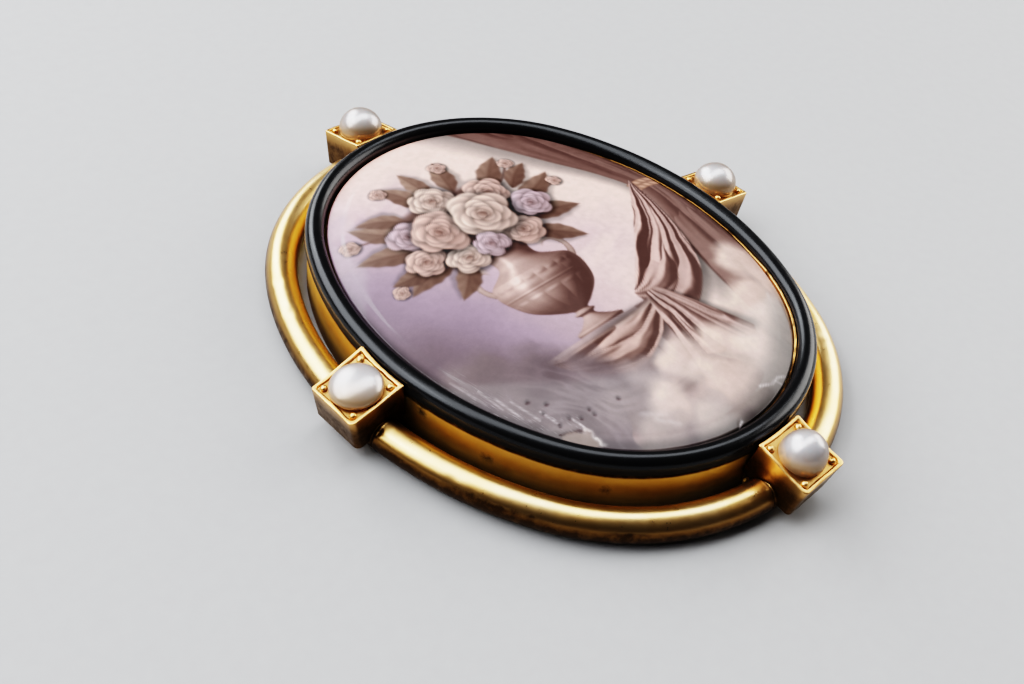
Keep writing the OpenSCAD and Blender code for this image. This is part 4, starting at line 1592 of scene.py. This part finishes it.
def paint_plaque(piece, points):
    """Writes the paint at each point, and where the glaze is rubbed: a band that fades over 0.9 mm."""
    x, y = points[:, 0] / MM, points[:, 1] / MM
    light = to_paint(worn_painting(x, y))
    layer = piece.data.color_attributes.new("paint", "FLOAT_COLOR", "POINT")
    layer.data.foreach_set("color", np.concatenate([light, np.ones((len(points), 1))], 1).ravel())
    set_values(piece, rubbed=0.6 * bell(near_line(x, y, RUBBED), 0.9))
    return light


paint = paint_plaque(plaque, plaque_solid["points"])
print("mean paint of the plaque:", paint.mean(0).round(3))

# %% [markdown]
# ## Collets
# A collet is the small box that holds a stone or a pearl. These four straddle the tube a quarter of the
# way round from one another and lean outward. Each is made upright at the origin first, because its
# shape is simplest there, and then leaned, moved out and turned.

# %% Collet placing
LEAN = math.radians(11.7)
COLLET_IN = 0.03 * MM
COLLET_FOOT, COLLET_RIM = 0.2 * MM, 3.33 * MM
COLLET_FLOOR = 3.12 * MM  # the sheet pushed up round the pearl
COLLET_NAMES = ("right", "top", "left", "bottom")


def on_collet(points, i):
    """Leans points about Y, moves them out to the tube, and turns them to collet i, a quarter turn each."""
    x, y, z = points[..., 0], points[..., 1], points[..., 2]
    out = x * math.cos(LEAN) + z * math.sin(LEAN) + (HALF_W, HALF_L)[i % 2] - COLLET_IN
    height = -x * math.sin(LEAN) + z * math.cos(LEAN) + TUBE_R
    c, s = round(math.cos(i * math.pi / 2)), round(math.sin(i * math.pi / 2))
    return np.stack([c * out - s * y, s * out + c * y, height], -1)


print("middles of the collets' feet in mm:")
for i, name in enumerate(COLLET_NAMES):
    print(f"  {name}: {(on_collet(np.array([0, 0, COLLET_FOOT]), i) / MM).round(2)}")

# %% [markdown]
# ### Collet box
# The real box is bent from sheet gold. Here it is a loft of rounded squares: up the outer wall, over the
# thin rim, down the inner wall and across the floor. Cubes with bevels could be joined to the same form,
# but in the loft each corner has its own radius, since wear has rounded some more than others, and the
# rim can waver.

# %% Collet box
SIDE_POINTS, CORNER_POINTS = 26, 8
COLLET_SECTION = [
    (0.6 * MM, COLLET_FOOT, 0), (2.25 * MM, COLLET_FOOT, 0.08 * MM),
    *[(2.25 * MM, z * MM, 0) for z in (0.8, 1.4, 2.0, 2.5, 2.8, 3.0)], (2.25 * MM, COLLET_RIM, 0.1 * MM),
    (2.0 * MM, COLLET_RIM, 0.08 * MM), (1.93 * MM, COLLET_FLOOR, 0.06 * MM), (0.6 * MM, COLLET_FLOOR, 0),
]
# Corner radii in mm, in the order (out, +), (in, +), (in, -), (out, -): some corners were knocked round
CORNERS = {
    "right": (0.16, 0.16, 0.22, 0.2), "top": (0.2, 0.16, 0.16, 0.24),
    "left": (0.42, 0.15, 0.14, 0.2), "bottom": (0.34, 0.2, 0.16, 0.36),
}
ROUGH = {"right": 0.4, "top": 0.4, "left": 1.5, "bottom": 0.4}  # how uneven the inner wall is


def square_path():
    """Unit square as inner spots with outward normals, which give a rounded square: spot * (half -
    radius) + normal * radius. The third result counts the corners passed."""
    side = np.linspace(-1, 1, SIDE_POINTS)
    turn = np.linspace(0, math.pi / 2, CORNER_POINTS + 2)[1:-1]
    spot = np.concatenate([np.stack([np.ones(SIDE_POINTS), side], -1), np.ones((CORNER_POINTS, 2))])
    straight = np.tile([1.0, 0.0], (SIDE_POINTS, 1))
    out = np.concatenate([straight, np.stack([np.cos(turn), np.sin(turn)], -1)])
    at = np.concatenate([(side - 1) / 2, np.zeros(CORNER_POINTS)])
    quarter = np.array([[0.0, 1.0], [-1.0, 0.0]])
    turned = [np.linalg.matrix_power(quarter, k) for k in range(4)]
    spots = np.concatenate([spot @ q for q in turned])
    outs = np.concatenate([out @ q for q in turned])
    return spots, outs, np.concatenate([at + k for k in range(4)])


def box_shell(section, radii, phase, rough):
    """Rounded squares lofted up the section. Waves move the rim up and down and the inner wall in and
    out."""
    spot, out, at = square_path()
    half, height = section[:, 0, None, None], section[:, 1]
    radius = np.interp(np.mod(at, 4), range(5), list(radii) + [radii[0]]) * MM
    corner = radius[None, :, None] * half / (2.25 * MM)
    flat = spot[None] * (half - corner) + out[None] * corner
    turn = math.pi / 2 * at[None, :]
    high = np.clip((height[:, None] - COLLET_FLOOR) / (COLLET_RIM - COLLET_FLOOR), 0, 1) ** 2
    waver = ripple(turn, [(0.022 * MM, 3, phase), (0.009 * MM, 7, 2 * phase), (0.003 * MM, 15, 3 * phase)])
    tall = height[:, None] + high * (waver - 0.03 * MM)
    inner = (section[:, 0] < 2.2 * MM) & (section[:, 1] > COLLET_FLOOR - 0.1 * MM)
    nibble = rough * ripple(turn, [(0.007, 5, phase), (0.004, 13, 1 + phase), (0.0015, 29, 2 * phase)])
    flat = flat * (1 + inner[:, None, None] * (nibble * (section[:, 0, None] > 1.0 * MM))[..., None])
    points = np.concatenate([flat, tall[..., None]], -1)
    return capped_shell(points, (0, 0, section[0, 1]), (0, 0, section[-1, 1]))


print("points round a collet:", len(square_path()[2]))

# %% [markdown]
# ### Collet wear and painted shade
# Four raised grains of gold in the corners of each box hold the pearl. Knocks have bent the corners of
# the left and the bottom box. Those points could be dragged by hand, but a short table of moves that fade
# out with the distance does it the same way each time. The hollow under the pearl and the outsides of
# the walls, from just below the rim down, are darkened as painted shade.

# %% Collet wear and painted shade
GRAIN_AT, GRAIN_HIGH = 1.6 * MM, COLLET_RIM - 0.14 * MM
GRAIN = np.array([0.27, 0.27, 0.24]) * MM
# Corners that were bent: (side out or in, side along), then the move out, along and up in mm
BENT = {
    "left": [((-1, -1), (-0.35, -0.16, 0.28)), ((-1, 1), (-0.2, 0.04, 0.1)), ((1, 1), (0.12, 0.05, 0.0))],
    "bottom": [
        ((-1, 1), (-0.16, 0.2, 0.15)), ((-1, -1), (-0.2, 0.04, 0.1)), ((1, 1), (0.03, 0.11, 0.06)),
        ((1, -1), (0.01, -0.09, -0.05)),
    ],
}


def grains():
    """One small egg in each corner of the floor."""
    places = [(x, y, GRAIN_HIGH) for x in (-GRAIN_AT, GRAIN_AT) for y in (-GRAIN_AT, GRAIN_AT)]
    return [ball_shell(place, GRAIN) for place in places]


def bent(points, name):
    """Moves a corner by its bend times how near the point is to that corner and to the rim."""
    x, y, z = points.T
    moved = points.copy()
    for (out, along), shift in BENT.get(name, []):
        near = np.clip((1 + out * x / COLLET_HALF) / 2, 0, 1)
        near = near * np.clip((1 + along * y / COLLET_HALF) / 2, 0, 1)
        lift = np.clip(z / COLLET_RIM, 0, 1.2) ** 2
        wall = np.clip((np.maximum(np.abs(x), np.abs(y)) / MM - 1.2) / 0.7, 0, 1)
        moved = moved + (near ** 2 * lift * wall)[:, None] * np.array(shift) * MM
    return moved


def collet_values(points):
    """Painted shade in the hollow under the pearl and down the outsides of the walls."""
    reach = np.maximum(np.abs(points[:, 0]), np.abs(points[:, 1])) / MM
    z = points[:, 2] / MM
    shaded_recess = (reach < 1.97) * np.clip((3.33 - z) / 0.24, 0, 1) * (z > 2.6)
    # Painted shade down the outsides of the walls, from just below the rim
    wall = (reach > 2.15) * np.clip((3.25 - z) / 1.15, 0, 1) ** 0.55
    return {"wear_and_painted_shade": 0.35 * shaded_recess + 0.7 * wall ** 1.5, "tarnish": 0.6 * shaded_recess + wall}


collet_section = rounded(COLLET_SECTION, closed=False)
for i, name in enumerate(COLLET_NAMES):
    whole = joined([box_shell(collet_section, CORNERS[name], 0.7 + i, ROUGH[name])] + grains())
    values = collet_values(whole["points"])
    whole["points"] = on_collet(bent(whole["points"], name), i)
    set_values(make_piece(f"collet_{name}", whole, golds["collet_gold"], "gold", "frame"), **values)

# %% [markdown]
# ## Pearls
# Three pearls are nearly round and one, on the left, is a flat button pearl. A plain sphere would look
# like a bead from a machine, so the radius of each wavers by about one part in a hundred. Each pearl is
# pale on one upper side, and tan on the other and round its lower half: a painted reflection of the gold
# below it.

# %% Pearls
# Half width, half height, and the middle's height above the tube's centreline in the collet's own frame
ROUND_PEARL = (1.73 * MM, 2.0 * MM, COLLET_RIM + 0.06 * MM)
BUTTON = (1.93 * MM, 0.94 * MM, COLLET_RIM + 0.12 * MM)
LOW_PEARL = (1.83 * MM, 1.7 * MM, COLLET_RIM + 0.22 * MM)
PEARL_SIZES = {"left": BUTTON, "bottom": ROUND_PEARL, "top": LOW_PEARL, "right": LOW_PEARL}
# The pale side, which the painted reflection of the gold leaves out, faces this way
PALE_SIDE = np.array([0.42, 0.52, 0.74])  # the way that the thick pale nacre faces


def pearl_points(i):
    """Unit sphere times 1 plus two slow waves, whose phases differ from pearl to pearl."""
    ball = ball_points(46, 72)
    wave = 1 + 0.01 * np.sin(2.3 * ball[..., 0] + i) * np.cos(2.9 * ball[..., 1] - i)
    wave = wave + 0.006 * np.sin(5 * ball[..., 2] + i)
    return ball * wave[..., None]


def painted_gold_reflection(pearl, centre, wide, belt):
    """Painted reflection of the gold: more on the belt round the lower half, less towards the pale side."""
    toward_pale = 1.2 * ((pearl - centre) / wide) @ PALE_SIDE
    return 0.92 * np.clip(0.35 + 0.5 * belt - toward_pale, 0, 1)


for i, name in enumerate(COLLET_NAMES):
    wide, tall, middle = PEARL_SIZES[name]
    points = pearl_points(i) * [wide, wide, tall] + [0, 0, middle]
    pearl = capped_shell(points, (0, 0, middle - tall), (0, 0, middle + tall))
    belt = np.clip(1 - 2 * (pearl["points"][:, 2] - middle) / tall, 0, 1)
    pearl["points"] = on_collet(pearl["points"], i)
    centre = on_collet(np.array([[0, 0, middle]]), i)
    piece = make_piece(f"pearl_{name}_round", pearl, pearl_skin, "pearl", f"pearl_{name}")
    set_values(piece, tarnish=painted_gold_reflection(pearl["points"], centre, wide, belt))

# %% [markdown]
# ## The pin
# The pin, its hinge and its catch hide behind the case. A finer mesh would show in no picture, so the
# solid stays as it is and only gets its finish.

# %% Pin finish
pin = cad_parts["pin"]
pin.data.materials.clear()
pin.data.materials.append(golds["back_gold"])
print("pin:", len(pin.data.polygons), "faces")

# %% [markdown]
# ## Floor
# The brooch lies on a pale surface with a faint grain, like paper. One plane is enough, so large that its
# edge stays out of the picture.

# %% Floor
FLOOR_HALF = 2.0
PAPER = (0.33, 0.33, 0.335, 1), (0.36, 0.36, 0.365, 1)


def add_floor():
    """A square at height 0, whose colour moves between two greys with a fine noise."""
    finish, tree, shader = new_finish("floor", Roughness=0.7)
    grain = noise(tree, object_place(tree), 900.0, 3.0)
    tree.links.new(mixed(tree, grain, *PAPER), shader.inputs["Base Color"])
    mesh = bpy.data.meshes.new("floor")
    corners = [(x * FLOOR_HALF, y * FLOOR_HALF, 0) for x, y in ((-1, -1), (1, -1), (1, 1), (-1, 1))]
    mesh.from_pydata(corners, [], [(0, 1, 2, 3)])
    mesh.materials.append(finish)
    floor = bpy.data.objects.new("floor", mesh)
    bpy.context.scene.collection.objects.link(floor)


add_floor()
print("floor:", 2 * FLOOR_HALF, "m square")

# %% [markdown]
# ## Light
# Polished metal shows what is round it, so the place and shape of a light count as much as its strength.
# Small lamps would give hard dots, and four large soft panels give lines instead. As the camera sees it,
# a broad window is on the left, two smaller ones stand behind the brooch, one to each side, and a
# strip hangs overhead. They draw the lines along the ring and the tube and the bright spots on the pearls.

# %% Light
COOL, WARM_WHITE = (0.96, 0.98, 1.0), (1.0, 0.97, 0.93)
PANEL_AWAY = 0.5
# Each panel: turn from +X and rise above the floor in degrees, size in metres, radiance and colour
PANELS = {
    "window_left": (122, 39, (0.75, 0.36), 5.2, COOL),
    "window_middle": (76, 24, (0.15, 0.24), 4.4, COOL),
    "window_right": (-14, 26, (0.42, 0.30), 4.6, WARM_WHITE),
    "overhead": (80, 80, (0.8, 0.24), 4.2, COOL),
}


def add_panel(name, turn, rise, size, radiance, colour):
    """A soft panel that faces the brooch. Its power is its radiance times pi times its area."""
    turn, rise = math.radians(turn), math.radians(rise)
    toward = Vector((math.cos(rise) * math.cos(turn), math.cos(rise) * math.sin(turn), math.sin(rise)))
    data = bpy.data.lights.new(name, "AREA")
    data.shape = "RECTANGLE"
    data.size, data.size_y = size
    data.energy = radiance * math.pi * size[0] * size[1]
    data.color = colour
    light = bpy.data.objects.new(name, data)
    light.location = toward * PANEL_AWAY
    light.rotation_mode = "QUATERNION"
    light.rotation_quaternion = toward.to_track_quat("Z", "Y")
    bpy.context.scene.collection.objects.link(light)
    print(f"{name}: {data.energy:.2f} W")


for name, row in PANELS.items():
    add_panel(name, *row)

# %% [markdown]
# ### World and view
# A dim grey all round keeps the shadows from going black. The film view lets the bright metal roll off
# softly, as film does, and its very high contrast keeps the dark parts deep.

# %% World and view
world = bpy.data.worlds.new("studio")
world.use_nodes = True
background = world.node_tree.nodes["Background"]
background.inputs["Color"].default_value = (0.5, 0.5, 0.52, 1)
background.inputs["Strength"].default_value = 0.10
bpy.context.scene.world = world
view = bpy.context.scene.view_settings
view.view_transform = "Filmic"
view.look = "Very High Contrast"
print("view:", view.view_transform, view.look)
